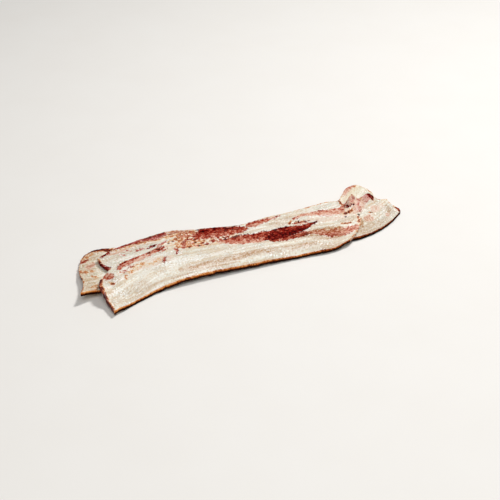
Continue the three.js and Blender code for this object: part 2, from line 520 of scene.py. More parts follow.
class NodeGraph:
    """Adds shader nodes to one material and joins them."""

    NOISE_ROUGHNESS = 0.6

    # Inputs of the mix node: its share, then the two numbers or the two colours
    NUMBER_INPUTS = (0, 2, 3)
    COLOUR_INPUTS = (0, 6, 7)
    NUMBER_OUTPUT = 0
    COLOUR_OUTPUT = 2

    def __init__(self, name: str) -> None:
        """Makes an empty node material.

        Args:
            name: The material's name.
        """
        self.material = bpy.data.materials.new(name)
        self.material.use_nodes = True
        self.tree = self.material.node_tree
        self.tree.nodes.clear()

    def add(self, kind: str, inputs: dict | None = None, **settings: object) -> bpy.types.Node:
        """Adds a node.

        Args:
            kind: The node's type, without the words ShaderNode before it.
            inputs: Numbers, colours or sockets for its inputs, by name or number.
            settings: Its other properties.

        Returns:
            The node.
        """
        node = self.tree.nodes.new("ShaderNode" + kind)
        for name, value in settings.items():
            setattr(node, name, value)
        for key, value in (inputs or {}).items():
            if isinstance(value, Socket):
                self.tree.links.new(value, node.inputs[key])
            else:
                node.inputs[key].default_value = value
        return node

    def attribute(self, name: str) -> Socket:
        """A number kept at each point of the mesh."""
        return self.add("Attribute", attribute_name=name).outputs["Fac"]

    def place(self) -> Socket:
        """The place on the object in millimetres."""
        return self.stretched(self.add("TexCoord").outputs["Object"], (1.0 / MILLIMETRE,) * 3)

    def stretched(self, place: Socket, scale: Spot) -> Socket:
        """A place with each axis scaled."""
        return self.add("VectorMath", {0: place, 1: scale}, operation="MULTIPLY").outputs[0]

    def noise(self, place: Socket, texture: Texture) -> Socket:
        """A cloudy pattern.

        Args:
            place: The place in millimetres.
            texture: The size and the shape of its features.

        Returns:
            Numbers from 0 to 1, mostly near a half.
        """
        if texture.squeeze != 1.0:
            place = self.stretched(place, (texture.squeeze, 1.0, 1.0))
        inputs = {
            "Vector": place,
            "Scale": 1.0 / texture.size,
            "Detail": texture.detail,
            "Roughness": self.NOISE_ROUGHNESS,
        }
        return self.add("TexNoise", inputs).outputs["Fac"]

    def math(self, operation: str, a: object, b: object) -> Socket:
        """One step of arithmetic on two numbers or sockets."""
        return self.add("Math", {0: a, 1: b}, operation=operation).outputs[0]

    def product(self, a: object, b: object) -> Socket:
        """Two numbers multiplied."""
        return self.math("MULTIPLY", a, b)

    def sum(self, first: object, *others: object) -> Socket:
        """Adds up several numbers.

        Args:
            first: The first number or socket.
            others: The others.

        Returns:
            The sum.
        """
        for other in others:
            first = self.math("ADD", first, other)
        return first

    def between(self, share: object, low: object, high: object) -> Socket:
        """A number that goes from low to high by a share."""
        inputs = dict(zip(self.NUMBER_INPUTS, (share, low, high)))
        return self.add("Mix", inputs, data_type="FLOAT", clamp_factor=True).outputs[self.NUMBER_OUTPUT]

    def blend(self, share: object, a: object, b: object, kind: str = "MIX") -> Socket:
        """Turns one colour into another.

        Args:
            share: How far, from 0 to 1.
            a: The first colour.
            b: The second colour.
            kind: How the second is laid over the first.

        Returns:
            The colour.
        """
        inputs = dict(zip(self.COLOUR_INPUTS, (share, a, b)))
        node = self.add("Mix", inputs, data_type="RGBA", blend_type=kind, clamp_factor=True)
        return node.outputs[self.COLOUR_OUTPUT]

    def sway(self, value: Socket, amount: float) -> Socket:
        """Noise from 0 to 1, turned into a push both ways whose usual size is amount."""
        return self.product(self.math("SUBTRACT", value, 0.5), amount / NOISE_SPREAD)

    def step(self, value: Socket, step: Step) -> Socket:
        """A number turned into a share by a soft step."""
        inputs = {"Value": value, "From Min": step.low, "From Max": step.high, "To Max": step.top}
        return self.add("MapRange", inputs, interpolation_type="SMOOTHSTEP").outputs[0]

    def ramp(self, value: Socket, stops: Stops) -> Socket:
        """A colour read from a row of colours.

        Args:
            value: The place in the row, from 0 to 1.
            stops: Places and hex colours.

        Returns:
            The colour.
        """
        node = self.add("ValToRGB", {"Fac": value})
        elements = node.color_ramp.elements
        while len(elements) < len(stops):
            elements.new(1.0)
        for element, (place, code) in zip(elements, stops):
            element.position = place
            element.color = linear(code)
        return node.outputs["Color"]

    def finish(self, surface: Socket) -> bpy.types.Material:
        """Joins the surface to the output and gives the material."""
        self.add("OutputMaterial", {"Surface": surface})
        return self.material


class MeatGraph(NodeGraph):
    """A node graph that knows the patterns of raw meat."""

    def __init__(self, name: str) -> None:
        """Makes each pattern from the place on the slice, which each point of the mesh keeps.

        Args:
            name: The material's name.
        """
        super().__init__(name)
        lay = self.add("Attribute", attribute_name="lay").outputs["Vector"]
        self.patterns = {pattern: self.noise(lay, pattern.value) for pattern in Pattern}

    def pushes(self, pushes: Pushes) -> list[Socket]:
        """The pushes of several patterns."""
        return [self.sway(self.patterns[pattern], amount) for pattern, amount in pushes]

    def swayed(self, value: Socket, pushes: Pushes) -> Socket:
        """A number pushed up and down by several patterns."""
        return self.sum(value, *self.pushes(pushes))


@dataclass(frozen=True)
class RawPork:
    """Moist raw smoked pork: pale fat, lean streaks, browned patches and a brown rind."""

    fat: str = "#e6e1d4"
    fat_white: str = "#fffcf6"
    fat_cool: str = "#cdcabd"
    fat_warm: str = "#d2b894"
    fat_pink: str = "#d9bea4"
    # Colour of stains, also used as painted shade
    stain_and_shade: str = "#c79b6e"
    # Painted shade inside small holes
    pit_shade: str = "#43190c"
    smoke: Stops = (
        (0.0, "#ecdcc2"),
        (0.3, "#e0b88c"),
        (0.5, "#cd8a56"),
        (0.7, "#aa4d2a"),
        (0.9, "#741f0e"),
        (1.0, "#4a1008"),
    )
    blush: Stops = (
        (0.0, "#ecd8c8"),
        (0.5, "#d8b09a"),
        (1.0, "#bc8470"),
    )
    lean: Stops = (
        (0.0, "#dcb4a0"),
        (0.2, "#c98a72"),
        (0.4, "#b0523a"),
        (0.6, "#8e180c"),
        (0.8, "#540503"),
        (1.0, "#260202"),
    )
    # Rind colours from light to dark; the darkest are reached at the foot of the wall, where painted shade
    # is added
    crust: Stops = (
        (0.0, "#e8a866"),
        (0.18, "#c26a26"),
        (0.36, "#84340b"),
        (0.55, "#481606"),
        (0.75, "#1e0802"),
    )
    fat_wetness: float = 0.65
    lean_wetness: float = 0.14
    crust_wetness: float = 0.04
    fat_roughness: float = 0.4
    lean_roughness: float = 0.3
    crust_roughness: float = 0.5

    # Fat: cool patches, white and warm streaks, warm lines, pink dots, painted shade in the dips of the
    # fine relief and white painted highlights on its crests
    cool_patches: Step = Step(0.42, 0.66, 0.9)
    white_streaks: Step = Step(0.47, 0.36, 0.5)
    warm_streaks: Step = Step(0.52, 0.7, 0.65)
    warm_lines: Step = Step(0.52, 0.68, 0.8)
    line_pushes: Pushes = ((Pattern.SPECKS, 0.05),)
    pink_dots: Step = Step(0.56, 0.7, 0.85)
    dot_pushes: Pushes = ((Pattern.CLOUDS, 0.05),)
    dip_shade: Step = Step(-0.1, -0.8, 0.85)
    crest_highlights: Step = Step(0.2, 1.0)
    crest_grit: float = 0.75
    crest_pushes: Pushes = ((Pattern.SPECKS, -0.3), (Pattern.CLOUDS, 0.25), (Pattern.STRATA, -0.12))

    # Tints: how uneven they are, and how the unevenness falls from light to heavy smoke
    fleck_pushes: Pushes = ((Pattern.BLOTS, 0.15), (Pattern.SPECKS, 0.12))
    # The fine relief makes tints heavier and lean darker in its dips: painted shade
    fleck_grit: float = -0.12
    blush_fleck: float = 1.8
    smoke_fleck: tuple[float, float] = (2.8, 0.9)
    heavy_smoke: Step = Step(0.6, 1.0)
    tint_edge: Step = Step(0.02, 0.4)
    stain_pushes: Pushes = ((Pattern.LINES, 0.3),)

    # Lean meat: its ragged edge, its tone and the marbling in its paler parts
    lean_pushes: Pushes = ((Pattern.BLOTS, 0.45), (Pattern.SPECKS, 0.35))
    lean_edge: Step = Step(-0.35, 0.35)
    tone_pushes: Pushes = ((Pattern.FIBRES, 0.06), (Pattern.CLOUDS, 0.05))
    edge_tone: float = 0.6
    marbling: Step = Step(0.56, 0.72, 0.6)
    marbling_pushes: Pushes = ((Pattern.SPECKS, 0.06),)
    marbled_tones: Step = Step(0.7, 0.3)

    # Rind, small holes darkened by painted shade, and wet spots with white painted highlights
    crust_pushes: Pushes = ((Pattern.BLOTS, 0.08), (Pattern.SPECKS, 0.06))
    crust_edge: Step = Step(0.3, 0.8)
    char_pushes: Pushes = ((Pattern.SPECKS, 0.09), (Pattern.BLOTS, 0.09), (Pattern.CLOUDS, 0.06))
    pit_edge: Step = Step(0.2, 0.8)
    glint_pushes: Pushes = ((Pattern.SPECKS, 1.0),)
    glint_edge: Step = Step(0.3, 0.7)
    glint_wetness: float = 1.0

    # Gloss, fine bumps and the glow of light under the surface, with depths in millimetres
    rough_pushes: Pushes = ((Pattern.SPECKS, 0.05),)
    bump_pushes: Pushes = ((Pattern.FIBRES, 0.05),)
    bump_depth: float = 0.4
    glow: float = 0.1
    glow_colours: Spot = (1.0, 0.35, 0.2)
    glow_depth: float = 0.8
    coat_roughness: float = 0.1

    def material(self, name: str) -> bpy.types.Material:
        """Makes the finish as a node material.

        Args:
            name: The material's name.

        Returns:
            The material.
        """
        graph = MeatGraph(name)
        grit = graph.attribute("grit")
        fleck = graph.sum(*graph.pushes(self.fleck_pushes), graph.product(grit, self.fleck_grit))
        uneven = graph.sum(graph.product(fleck, self.blush_fleck), 1.0)
        colour = self.tinted(graph, self.fat_colour(graph, grit), fleck, uneven)

        edge = graph.swayed(graph.attribute(Mark.LEAN.value), self.lean_pushes)
        lean_share = graph.step(edge, self.lean_edge)
        colour = graph.blend(lean_share, colour, self.lean_colour(graph, fleck, lean_share))
        # Brown stains, some of them painted shade in creases and over a curled end
        streaky = graph.swayed(uneven, self.stain_pushes)
        stain_and_shade = graph.product(graph.attribute(Mark.STAIN_AND_SHADE.value), streaky)
        colour = graph.blend(stain_and_shade, colour, linear(self.stain_and_shade), "MULTIPLY")

        # The rind: its own char, plus painted shade towards the foot of its wall
        rind_edge = graph.swayed(graph.attribute("crust"), self.crust_pushes)
        crust_share = graph.step(rind_edge, self.crust_edge)
        char_and_foot_shade = graph.swayed(graph.attribute("char_and_foot_shade"), self.char_pushes)
        colour = graph.blend(crust_share, colour, graph.ramp(char_and_foot_shade, self.crust))
        # Painted shade: small holes darkened
        pit_shade = graph.step(graph.attribute(Mark.PIT_SHADE.value), self.pit_edge)
        colour = graph.blend(pit_shade, colour, linear(self.pit_shade))
        # Wet spots: more gloss, and white painted highlights that gather on the crests of the fine relief
        sparkle = graph.sum(*graph.pushes(self.glint_pushes), grit)
        glint_share = graph.step(graph.product(graph.attribute(Mark.WET_PAINTED_GLINT.value), sparkle), self.glint_edge)
        colour = graph.blend(glint_share, colour, linear(self.fat_white))
        return self.surface(graph, colour, lean_share, crust_share, glint_share)

    def fat_colour(self, graph: MeatGraph, grit: Socket) -> Socket:
        """Pale fat with cool clouds, fine warm lines along the slice and small flecks, with painted shade
        in the dips of the fine relief and painted highlights on its crests.

        Args:
            graph: The material's nodes.
            grit: The fine relief.

        Returns:
            The colour.
        """
        clouds = graph.patterns[Pattern.CLOUDS]
        strata = graph.patterns[Pattern.STRATA]
        lines = graph.swayed(graph.patterns[Pattern.LINES], self.line_pushes)
        dots = graph.swayed(graph.patterns[Pattern.SPECKS], self.dot_pushes)
        crest_light = graph.swayed(graph.product(grit, self.crest_grit), self.crest_pushes)
        colour = linear(self.fat)
        for pattern, step, tint in (
            (clouds, self.cool_patches, self.fat_cool),
            (strata, self.white_streaks, self.fat_white),
            (strata, self.warm_streaks, self.fat_warm),
            (lines, self.warm_lines, self.fat_warm),
            (dots, self.pink_dots, self.fat_pink),
            # Painted shade in the dips of the fine relief, then painted highlights on its crests
            (grit, self.dip_shade, self.fat_warm),
            (crest_light, self.crest_highlights, self.fat_white),
        ):
            colour = graph.blend(graph.step(pattern, step), colour, linear(tint))
        return colour

    def tinted(self, graph: MeatGraph, colour: Socket, fleck: Socket, uneven: Socket) -> Socket:
        """Fat tinged by juices and browned by smoke.

        Args:
            graph: The material's nodes.
            colour: The fat's colour.
            fleck: Small unevenness about 0.
            uneven: The unevenness of juices, about 1.

        Returns:
            The colour.
        """
        heavy = graph.step(graph.attribute(Mark.SMOKE.value), self.heavy_smoke)
        mottled = graph.sum(graph.product(fleck, graph.between(heavy, *self.smoke_fleck)), 1.0)
        for mark, stops, spread in (
            (Mark.BLUSH, self.blush, uneven),
            (Mark.SMOKE, self.smoke, mottled),
        ):
            tint = graph.product(graph.attribute(mark.value), spread)
            colour = graph.blend(graph.step(tint, self.tint_edge), colour, graph.ramp(tint, stops))
        return colour

    def lean_colour(self, graph: MeatGraph, fleck: Socket, lean_share: Socket) -> Socket:
        """Lean meat, paler at its edges and marbled where it is pale.

        Args:
            graph: The material's nodes.
            fleck: Small unevenness about 0.
            lean_share: How far a place lies inside lean meat.

        Returns:
            The colour.
        """
        painted = graph.attribute("tone")
        tone = graph.swayed(graph.sum(painted, fleck), self.tone_pushes)
        tone = graph.product(tone, graph.between(lean_share, self.edge_tone, 1.0))
        veins = graph.swayed(graph.patterns[Pattern.LINES], self.marbling_pushes)
        veined = graph.product(graph.step(veins, self.marbling), graph.step(painted, self.marbled_tones))
        return graph.blend(veined, graph.ramp(tone, self.lean), linear(self.fat_pink))

    def surface(
        self, graph: MeatGraph, colour: Socket,
        lean_share: Socket, crust_share: Socket, glint_share: Socket,
    ) -> bpy.types.Material:
        """Gives the colour its gloss, fine bumps and glow.

        Args:
            graph: The material's nodes.
            colour: The colour.
            lean_share: Where lean meat is.
            crust_share: Where the rind is.
            glint_share: Where wet spots with white painted highlights are.

        Returns:
            The material.
        """
        wet = graph.between(lean_share, self.fat_wetness, self.lean_wetness)
        wet = graph.between(crust_share, wet, self.crust_wetness)
        wet = graph.between(glint_share, wet, self.glint_wetness)
        rough = graph.between(lean_share, self.fat_roughness, self.lean_roughness)
        rough = graph.between(crust_share, rough, self.crust_roughness)
        bump = graph.add("Bump", {
            "Height": graph.swayed(graph.patterns[Pattern.GRAIN], self.bump_pushes),
            "Strength": 1.0,
            "Distance": self.bump_depth * MILLIMETRE,
        })
        shader = graph.add("BsdfPrincipled", {
            "Base Color": colour,
            "Roughness": graph.swayed(rough, self.rough_pushes),
            "Normal": bump.outputs[0],
            "Subsurface Weight": self.glow,
            "Subsurface Radius": self.glow_colours,
            "Subsurface Scale": self.glow_depth * MILLIMETRE,
            "Specular IOR Level": 0.0,
            "Coat Weight": wet,
            "Coat Roughness": self.coat_roughness,
            "Coat Normal": bump.outputs[0],
        })
        return graph.finish(shader.outputs[0])


@dataclass(frozen=True)
class PaleFloor:
    """A plain pale floor with a soft matt surface."""

    colour: str = "#e9e6e1"
    cloud_colour: str = "#e6e2dc"
    roughness: float = 0.75
    clouds: Texture = Texture(60.0)

    def material(self) -> bpy.types.Material:
        """Makes the finish as a node material.

        Returns:
            The material.
        """
        graph = NodeGraph("pale_floor")
        clouds = graph.noise(graph.place(), self.clouds)
        colour = graph.blend(clouds, linear(self.colour), linear(self.cloud_colour))
        surface = graph.add("BsdfPrincipled", {"Base Color": colour, "Roughness": self.roughness})
        return graph.finish(surface.outputs[0])


def lean(strength: float, *path: Spot, tilt: float = 0.0) -> Band:
    """A streak of lean meat."""
    return Band(Mark.LEAN, strength, path, tilt)


def smoke(strength: float, *path: Spot) -> Band:
    """A patch of fat browned by smoke."""
    return Band(Mark.SMOKE, strength, path)


def blush(strength: float, *path: Spot) -> Band:
    """A patch of fat tinged by juices."""
    return Band(Mark.BLUSH, strength, path)


def stain_and_shade(strength: float, *path: Spot) -> Band:
    """A brown stain over fat and lean meat alike, also laid down as painted shade in creases and over a
    curled end.
    """
    return Band(Mark.STAIN_AND_SHADE, strength, path)


def pit_shade(*path: Spot) -> Band:
    """A small hole, darkened by painted shade."""
    return Band(Mark.PIT_SHADE, 1.0, path)


def wet_painted_glint(*path: Spot) -> Band:
    """A wet spot: more gloss, and white painted highlights."""
    return Band(Mark.WET_PAINTED_GLINT, 1.0, path)


@dataclass
class BaconSlice:
    """One slice of bacon, draped over the slices under it.

    Edges are given by a few points in plan. Rind and lean edges go from left to right, and ends go from
    the rind edge to the lean edge. Rind char is how dark the rind is at the left end and at the right,
    before painted shade darkens the foot of its wall.
    End smoke is how brown the left end, the right end and the lean edge are.
    """

    name: str
    rind: Points
    lean_edge: Points
    left: Points
    right: Points
    seed: int
    curls: tuple[Curl, ...] = ()
    hollows: tuple[Hollow, ...] = ()
    creases: tuple[Hollow, ...] = ()
    bands: tuple[Band, ...] = ()
    thin_from: float = 0.0
    thin_to: float = 1.0
    thin_thickness: float = SLICE_THICKNESS
    loose: bool = True
    under: tuple["BaconSlice", ...] = ()
    rind_depth: float = 0.85
    rind_char: tuple[float, float] = (0.02, 0.26)
    end_smoke: tuple[float, float, float] = (0.3, 0.3, 0.4)
    fray: float = 0.45
    lean_recess: float = 0.22
    finish: RawPork = RawPork()

    # The sheet that is draped over the slices below
    DRAPE_STEP = 0.8
    DRAPE_WINDOW = 24.0
    FAR_BELOW = -20.0
    MARGIN = 4.0
    OUTLINE_POINTS = 200

    # The least width that shares across the slice are turned into distances with
    LEAST_WIDTH = 1.0

    # Ragged cut edges and the softer swell of the rind
    FRAY_REACH = 2.5
    FRAY_X = (Ripple(2.3), Ripple(1.1, 0.6, (31.0, 0.0)))
    FRAY_Y = (Ripple(2.6, shift=(0.0, 47.0)), Ripple(1.2, 0.6, (11.0, 19.0)))
    RIND_FRAY = 0.9
    RIND_REACH = 3.0
    SWELL = Ripple(7.0, shift=(0.0, 83.0))
    NICKS = Ripple(1.3, 0.5, (0.0, 71.0))
    NICK_SLANT = 2.0

    # Uneven borders of the painted bands
    WARP = (Ripple(3.1, 0.8), Ripple(1.3, 0.5))
    COMB = (Ripple(1.5, squeeze=(1.0, 0.3)), Ripple(0.9, 0.6, (9.0, 0.0), (1.0, 0.4)))
    BAND_WARP = 0.4
    LEAN_WARP = 0.35
    LEAN_COMB = 0.6

    # How bands of lean meat share out their tone, and how tints fade outside theirs
    TONE_ELSEWHERE = 0.4
    WEIGHT_ELSEWHERE = 1e-6
    TONE_HOLD = 2.5
    TONE_DEPTHS = (-4.0, 1.5)
    TINT_FADE = 0.6
    LEAST_FADE = 0.2

    # Browned ends: where they fade out, how ragged they are, and how many times stronger underneath
    END_DEPTHS = (2.0, 0.7)
    END_COMB = 0.4
    END_BELOW = 1.5
    END_PATCHES = Ripple(9.0, 0.5)

    # The rind: how many times stronger it is underneath, and the painted shade that darkens its wall from
    # the top down to the foot
    CRUST_BELOW = 3.0
    FOOT_SHADE = 0.8
    FOOT_SHADE_DROP = (0.12, 0.7)

    # Fine relief of the top, in millimetres
    GRIT = (Ripple(1.5), Ripple(0.9, 0.6, (0.0, 23.0)))
    LUMPS = (Ripple(7.0, 0.09), Ripple(2.6, 0.08, squeeze=(0.6, 1.0)))
    WRINKLES = Ripple(1.1, 0.05, squeeze=(0.15, 1.0))
    PATCHES = Ripple(13.0, shift=(37.0, 0.0))
    PATCH_EDGE = (-0.5, 0.6)
    BEADS = 0.055
    PATCH_BEADS = 0.075
    FIBRES = Ripple(1.3, 0.07, squeeze=(0.35, 1.0))
    MEAT_BEADS = 0.09
    MEAT_DEPTHS = (-0.6, 0.9)
    LIP_HEIGHT = 0.1
    LIP_WIDTH = 0.9
    PIT_DEPTH = 0.35
    PIT_EDGE = (0.2, 0.9)

    # The share of the recess that the palest lean meat sinks by, where the darkest sinks twice as far
    PALE_RECESS = 0.6

    def __post_init__(self) -> None:
        """Makes the edges, the grain and the drape."""
        self.edges = {
            Edge.RIND: SmoothCurve(self.rind),
            Edge.LEAN: SmoothCurve(self.lean_edge),
            Edge.LEFT: SmoothCurve(self.left),
            Edge.RIGHT: SmoothCurve(self.right),
        }
        self.length = self.edges[Edge.RIND].length
        middle = np.array([0.5])
        across = self.edges[Edge.RIND].at(middle) - self.edges[Edge.LEAN].at(middle)
        self.width = float(np.linalg.norm(across))
        self.grain = Grain(self.seed)
        self.drape = self.drape_over(self.under) if self.under else None

    def plan(self, u: Array, v: Array, inset: float) -> Array:
        """Places in plan.

        Args:
            u: Shares along the slice, from the left end to the right.
            v: Shares across it, from the rind edge to the lean edge.
            inset: How far inside the outline the places stay.

        Returns:
            Places with x and y last.
        """
        u = (inset / self.length + u * (1 - 2 * inset / self.length))[..., None]
        v = (inset / self.width + v * (1 - 2 * inset / self.width))[..., None]
        rind = self.edges[Edge.RIND].at(u[..., 0])
        lean_side = self.edges[Edge.LEAN].at(u[..., 0])
        straight = (1 - v) * rind + v * lean_side
        left = (1 - u) ** END_BLEND_POWER * self.end_bulge(Edge.LEFT, v)
        right = u**END_BLEND_POWER * self.end_bulge(Edge.RIGHT, v)
        return straight + left + right

    def end_bulge(self, edge: Edge, v: Array) -> Array:
        """How far an end strays from the straight line between its corners.

        Args:
            edge: The end.
            v: Shares across the slice.

        Returns:
            Offsets in plan.
        """
        curve = self.edges[edge]
        corners = curve.at(np.array([0.0, 1.0]))
        return curve.at(v[..., 0]) - (1 - v) * corners[0] - v * corners[1]

    def drape_over(self, lower: tuple["BaconSlice", ...]) -> Lattice:
        """Lays a soft sheet of no thickness over the slices below.

        Args:
            lower: The slices that carry this one.

        Returns:
            The height at which they carry it, far below the ground where they don't.
        """
        supports = np.concatenate([piece.support_points() for piece in lower])
        supports = supports[np.argsort(supports[:, 0])]
        shares = np.linspace(0.0, 1.0, self.OUTLINE_POINTS)
        outline = np.concatenate([curve.at(shares) for curve in self.edges.values()])
        low = outline.min(0) - self.MARGIN
        counts = np.ceil((outline.max(0) + self.MARGIN - low) / self.DRAPE_STEP).astype(int) + 1
        heights = np.full(counts, self.FAR_BELOW)
        y = low[1] + self.DRAPE_STEP * np.arange(counts[1])
        for column in range(counts[0]):
            x = low[0] + self.DRAPE_STEP * column
            window = (x - self.DRAPE_WINDOW, x + self.DRAPE_WINDOW)
            first, last = np.searchsorted(supports[:, 0], window)
            if first == last:
                continue
            near = supports[first:last]
            square = (near[:, 0] - x) ** 2 + (near[:, 1] - y[:, None]) ** 2
            carried = (near[:, 2] - square / (2 * BEND_RADIUS)).max(1)
            heights[column] = np.maximum(heights[column], carried)
        return Lattice(low, self.DRAPE_STEP, heights)

    def underside(self, x: Array, y: Array) -> Array:
        """The height of the underside at places in plan.

        Args:
            x: Places along X.
            y: Places along Y.

        Returns:
            One height for each place.
        """
        rise = sum((curl.rise(x, y) for curl in self.curls), np.zeros_like(x))
        height = np.maximum(0.0, rise - FLAT_TOLERANCE)
        if self.loose:
            height = height + Wave().rise(x, y)
        if self.drape is None:
            return height
        carried = self.drape.at(x, y) + AIR_GAP
        return height + 0.5 * (carried + np.hypot(carried, GROUND_SOFTNESS))

    def thickness(self, x: Array, y: Array) -> Array:
        """The thickness at places in plan.

        Args:
            x: Places along X.
            y: Places along Y.

        Returns:
            One thickness for each place.
        """
        taper = (self.thin_thickness - SLICE_THICKNESS) * smoothstep(x, self.thin_from, self.thin_to)
        troughs = sum((hollow.drop(x, y) for hollow in self.hollows), np.zeros_like(x))
        return SLICE_THICKNESS + taper + Wander().rise(x, y) - troughs

    def support_points(self) -> Array:
        """Places on the top that carry the slices above.

        Returns:
            Rows of x, y and height.
        """
        u, v = share_grid(*self.cells(SUPPORT_SPACING))
        spots = self.plan(u, v, 0.0)
        x, y = spots.T
        return np.column_stack([spots, self.underside(x, y) + self.thickness(x, y)])

    def cells(self, size: float) -> tuple[int, int]:
        """How many cells of that size fit along the slice and across it."""
        return math.ceil(self.length / size), math.ceil(self.width / size)

    def edge_distances(self, u: Array, v: Array, inset: float) -> dict[Edge, Array]:
        """How far places are from each edge, in millimetres.

        Args:
            u: Shares along the slice.
            v: Shares across it.
            inset: How far inside the outline the places start.

        Returns:
            One array for each edge.
        """
        span = self.edges[Edge.RIND].at(u) - self.edges[Edge.LEAN].at(u)
        local = np.maximum(np.linalg.norm(span, axis=-1), self.LEAST_WIDTH)
        return {
            Edge.RIND: inset + v * local,
            Edge.LEAN: inset + (1 - v) * local,
            Edge.LEFT: inset + u * self.length,
            Edge.RIGHT: inset + (1 - u) * self.length,
        }

    def frayed(self, spots: Array, near: dict[Edge, Array], share: float) -> Array:
        """Moves places near the cut edges a little, so that the outline is uneven.

        Args:
            spots: Places in plan.
            near: Their distances from the edges.
            share: The height in the slice, from 0 underneath to 1 on top.

        Returns:
            The moved places.
        """
        x, y = spots[..., 0], spots[..., 1]
        cut = np.minimum(np.minimum(near[Edge.LEAN], near[Edge.LEFT]), near[Edge.RIGHT])
        ragged = self.fray * np.exp(-cut / self.FRAY_REACH)
        skin = self.RIND_FRAY * self.fray * np.exp(-near[Edge.RIND] / self.RIND_REACH)
        nicks = self.grain.at(x, y + self.NICK_SLANT * share, self.NICKS)
        swell = self.grain.at(x, y, self.SWELL) + nicks
        moved_x = ragged * self.grain.at(x, y, *self.FRAY_X)
        moved_y = ragged * self.grain.at(x, y, *self.FRAY_Y) + skin * swell
        return spots + np.stack([moved_x, moved_y], -1)

    def paint(self, x: Array, y: Array, near: dict[Edge, Array], share: Array) -> dict[str, Array]:
        """The numbers that the finish reads at each point.

        Args:
            x: Places along X, in one row.
            y: Places along Y, in one row.
            near: Their distances from the edges.
            share: The height in the slice, from 0 underneath to 1 on top.

        Returns:
            Arrays by the name of the attribute.
        """
        warp = self.grain.at(x, y, *self.WARP)
        comb = self.grain.at(x, y, *self.COMB)
        lean_depth = np.full(x.shape, -Band.REACH)
        weight = np.full(x.shape, self.WEIGHT_ELSEWHERE)
        tone = self.TONE_ELSEWHERE * weight
        tints = {mark: np.zeros(x.shape) for mark in Mark if mark is not Mark.LEAN}
        for band in self.bands:
            depth, side = band.read(x + self.BAND_WARP * warp, y + self.BAND_WARP * warp)
            if band.mark is Mark.LEAN:
                lean_depth = np.maximum(lean_depth, depth)
                hold = np.exp(self.TONE_HOLD * np.clip(depth, *self.TONE_DEPTHS))
                weight += hold
                tone += hold * (band.strength + band.tilt * side)
            else:
                fade = self.TINT_FADE * max(point[2] for point in band.path) + self.LEAST_FADE
                spread = np.exp(-((np.minimum(depth, 0.0) / fade) ** 2))
                tints[band.mark] = np.maximum(tints[band.mark], band.strength * spread)
        patches = 1.0 + self.grain.at(x, y, self.END_PATCHES)
        for edge, strength in zip((Edge.LEFT, Edge.RIGHT, Edge.LEAN), self.end_smoke):
            stronger = strength * (self.END_BELOW + (1.0 - self.END_BELOW) * share)
            browned = stronger * smoothstep(near[edge] + self.END_COMB * comb, *self.END_DEPTHS) * patches
            tints[Mark.SMOKE] = np.maximum(tints[Mark.SMOKE], browned)
        crust = np.exp(-((near[Edge.RIND] / self.rind_depth) ** 2))
        char_and_foot_shade = np.interp(x, (self.rind[0][0], self.rind[-1][0]), self.rind_char)
        return {
            Mark.LEAN.value: lean_depth + self.LEAN_WARP * warp + self.LEAN_COMB * comb,
            **{mark.value: tint for mark, tint in tints.items()},
            "tone": tone / weight,
            "crust": (self.CRUST_BELOW + (1.0 - self.CRUST_BELOW) * share) * crust,
            # The rind's own char, plus painted shade that darkens the wall towards its foot
            "char_and_foot_shade": char_and_foot_shade + self.FOOT_SHADE * smoothstep(1.0 - share, *self.FOOT_SHADE_DROP),
            "grit": self.grain.at(x, y, *self.GRIT),
            "lay": np.column_stack([near[Edge.LEFT], near[Edge.RIND], share * SLICE_THICKNESS]),
        }

    def relief(self, x: Array, y: Array, looks: dict[str, Array], near: dict[Edge, Array]) -> Array:
        """The fine relief of the top, in millimetres.

        Args:
            x: Places along X.
            y: Places along Y.
            looks: The painted numbers there.
            near: The distances from the edges.

        Returns:
            Heights that are added to the top, mostly below it.
        """
        meat = smoothstep(looks[Mark.LEAN.value], *self.MEAT_DEPTHS)
        lumps = self.grain.at(x, y, *self.LUMPS)
        wrinkles = self.grain.at(near[Edge.LEFT], near[Edge.RIND], self.WRINKLES)
        patch = smoothstep(self.grain.at(x, y, self.PATCHES), *self.PATCH_EDGE)
        beads = (self.BEADS + self.PATCH_BEADS * patch) * looks["grit"]
        fibres = self.grain.at(x, y, self.FIBRES) + self.MEAT_BEADS * looks["grit"]
        lip = self.LIP_HEIGHT * np.exp(-((near[Edge.RIND] / self.LIP_WIDTH) ** 2))
        holes = self.PIT_DEPTH * smoothstep(looks[Mark.PIT_SHADE.value], *self.PIT_EDGE)
        folds = sum((crease.drop(x, y) for crease in self.creases), np.zeros_like(x))
        sunk = self.lean_recess * meat * self.PALE_RECESS * (1.0 + np.clip(looks["tone"], 0.0, 1.0))
        return (1 - meat) * (lumps + wrinkles + beads) + meat * fibres - sunk - holes - folds + lip

    def build(self) -> bpy.types.Object:
        """Makes the slice, dresses it and ties it to the frame.

        Returns:
            The piece.
        """
        points, faces, looks = self.body(*self.cells(CELL))
        mesh = bpy.data.meshes.new("bacon_" + self.name)
        mesh.from_pydata(points * MILLIMETRE, [], faces)
        mesh.shade_smooth()
        for name, values in looks.items():
            flat = values.ndim == 1
            layer = mesh.attributes.new(name, "FLOAT" if flat else "FLOAT_VECTOR", "POINT")
            layer.data.foreach_set("value" if flat else "vector", values.astype(np.float32).ravel())
        mesh.materials.append(self.finish.material("raw_pork_" + self.name))
        piece = add_object("bacon_" + self.name, mesh)
        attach(piece, "root")
        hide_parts(self.name)
        return piece

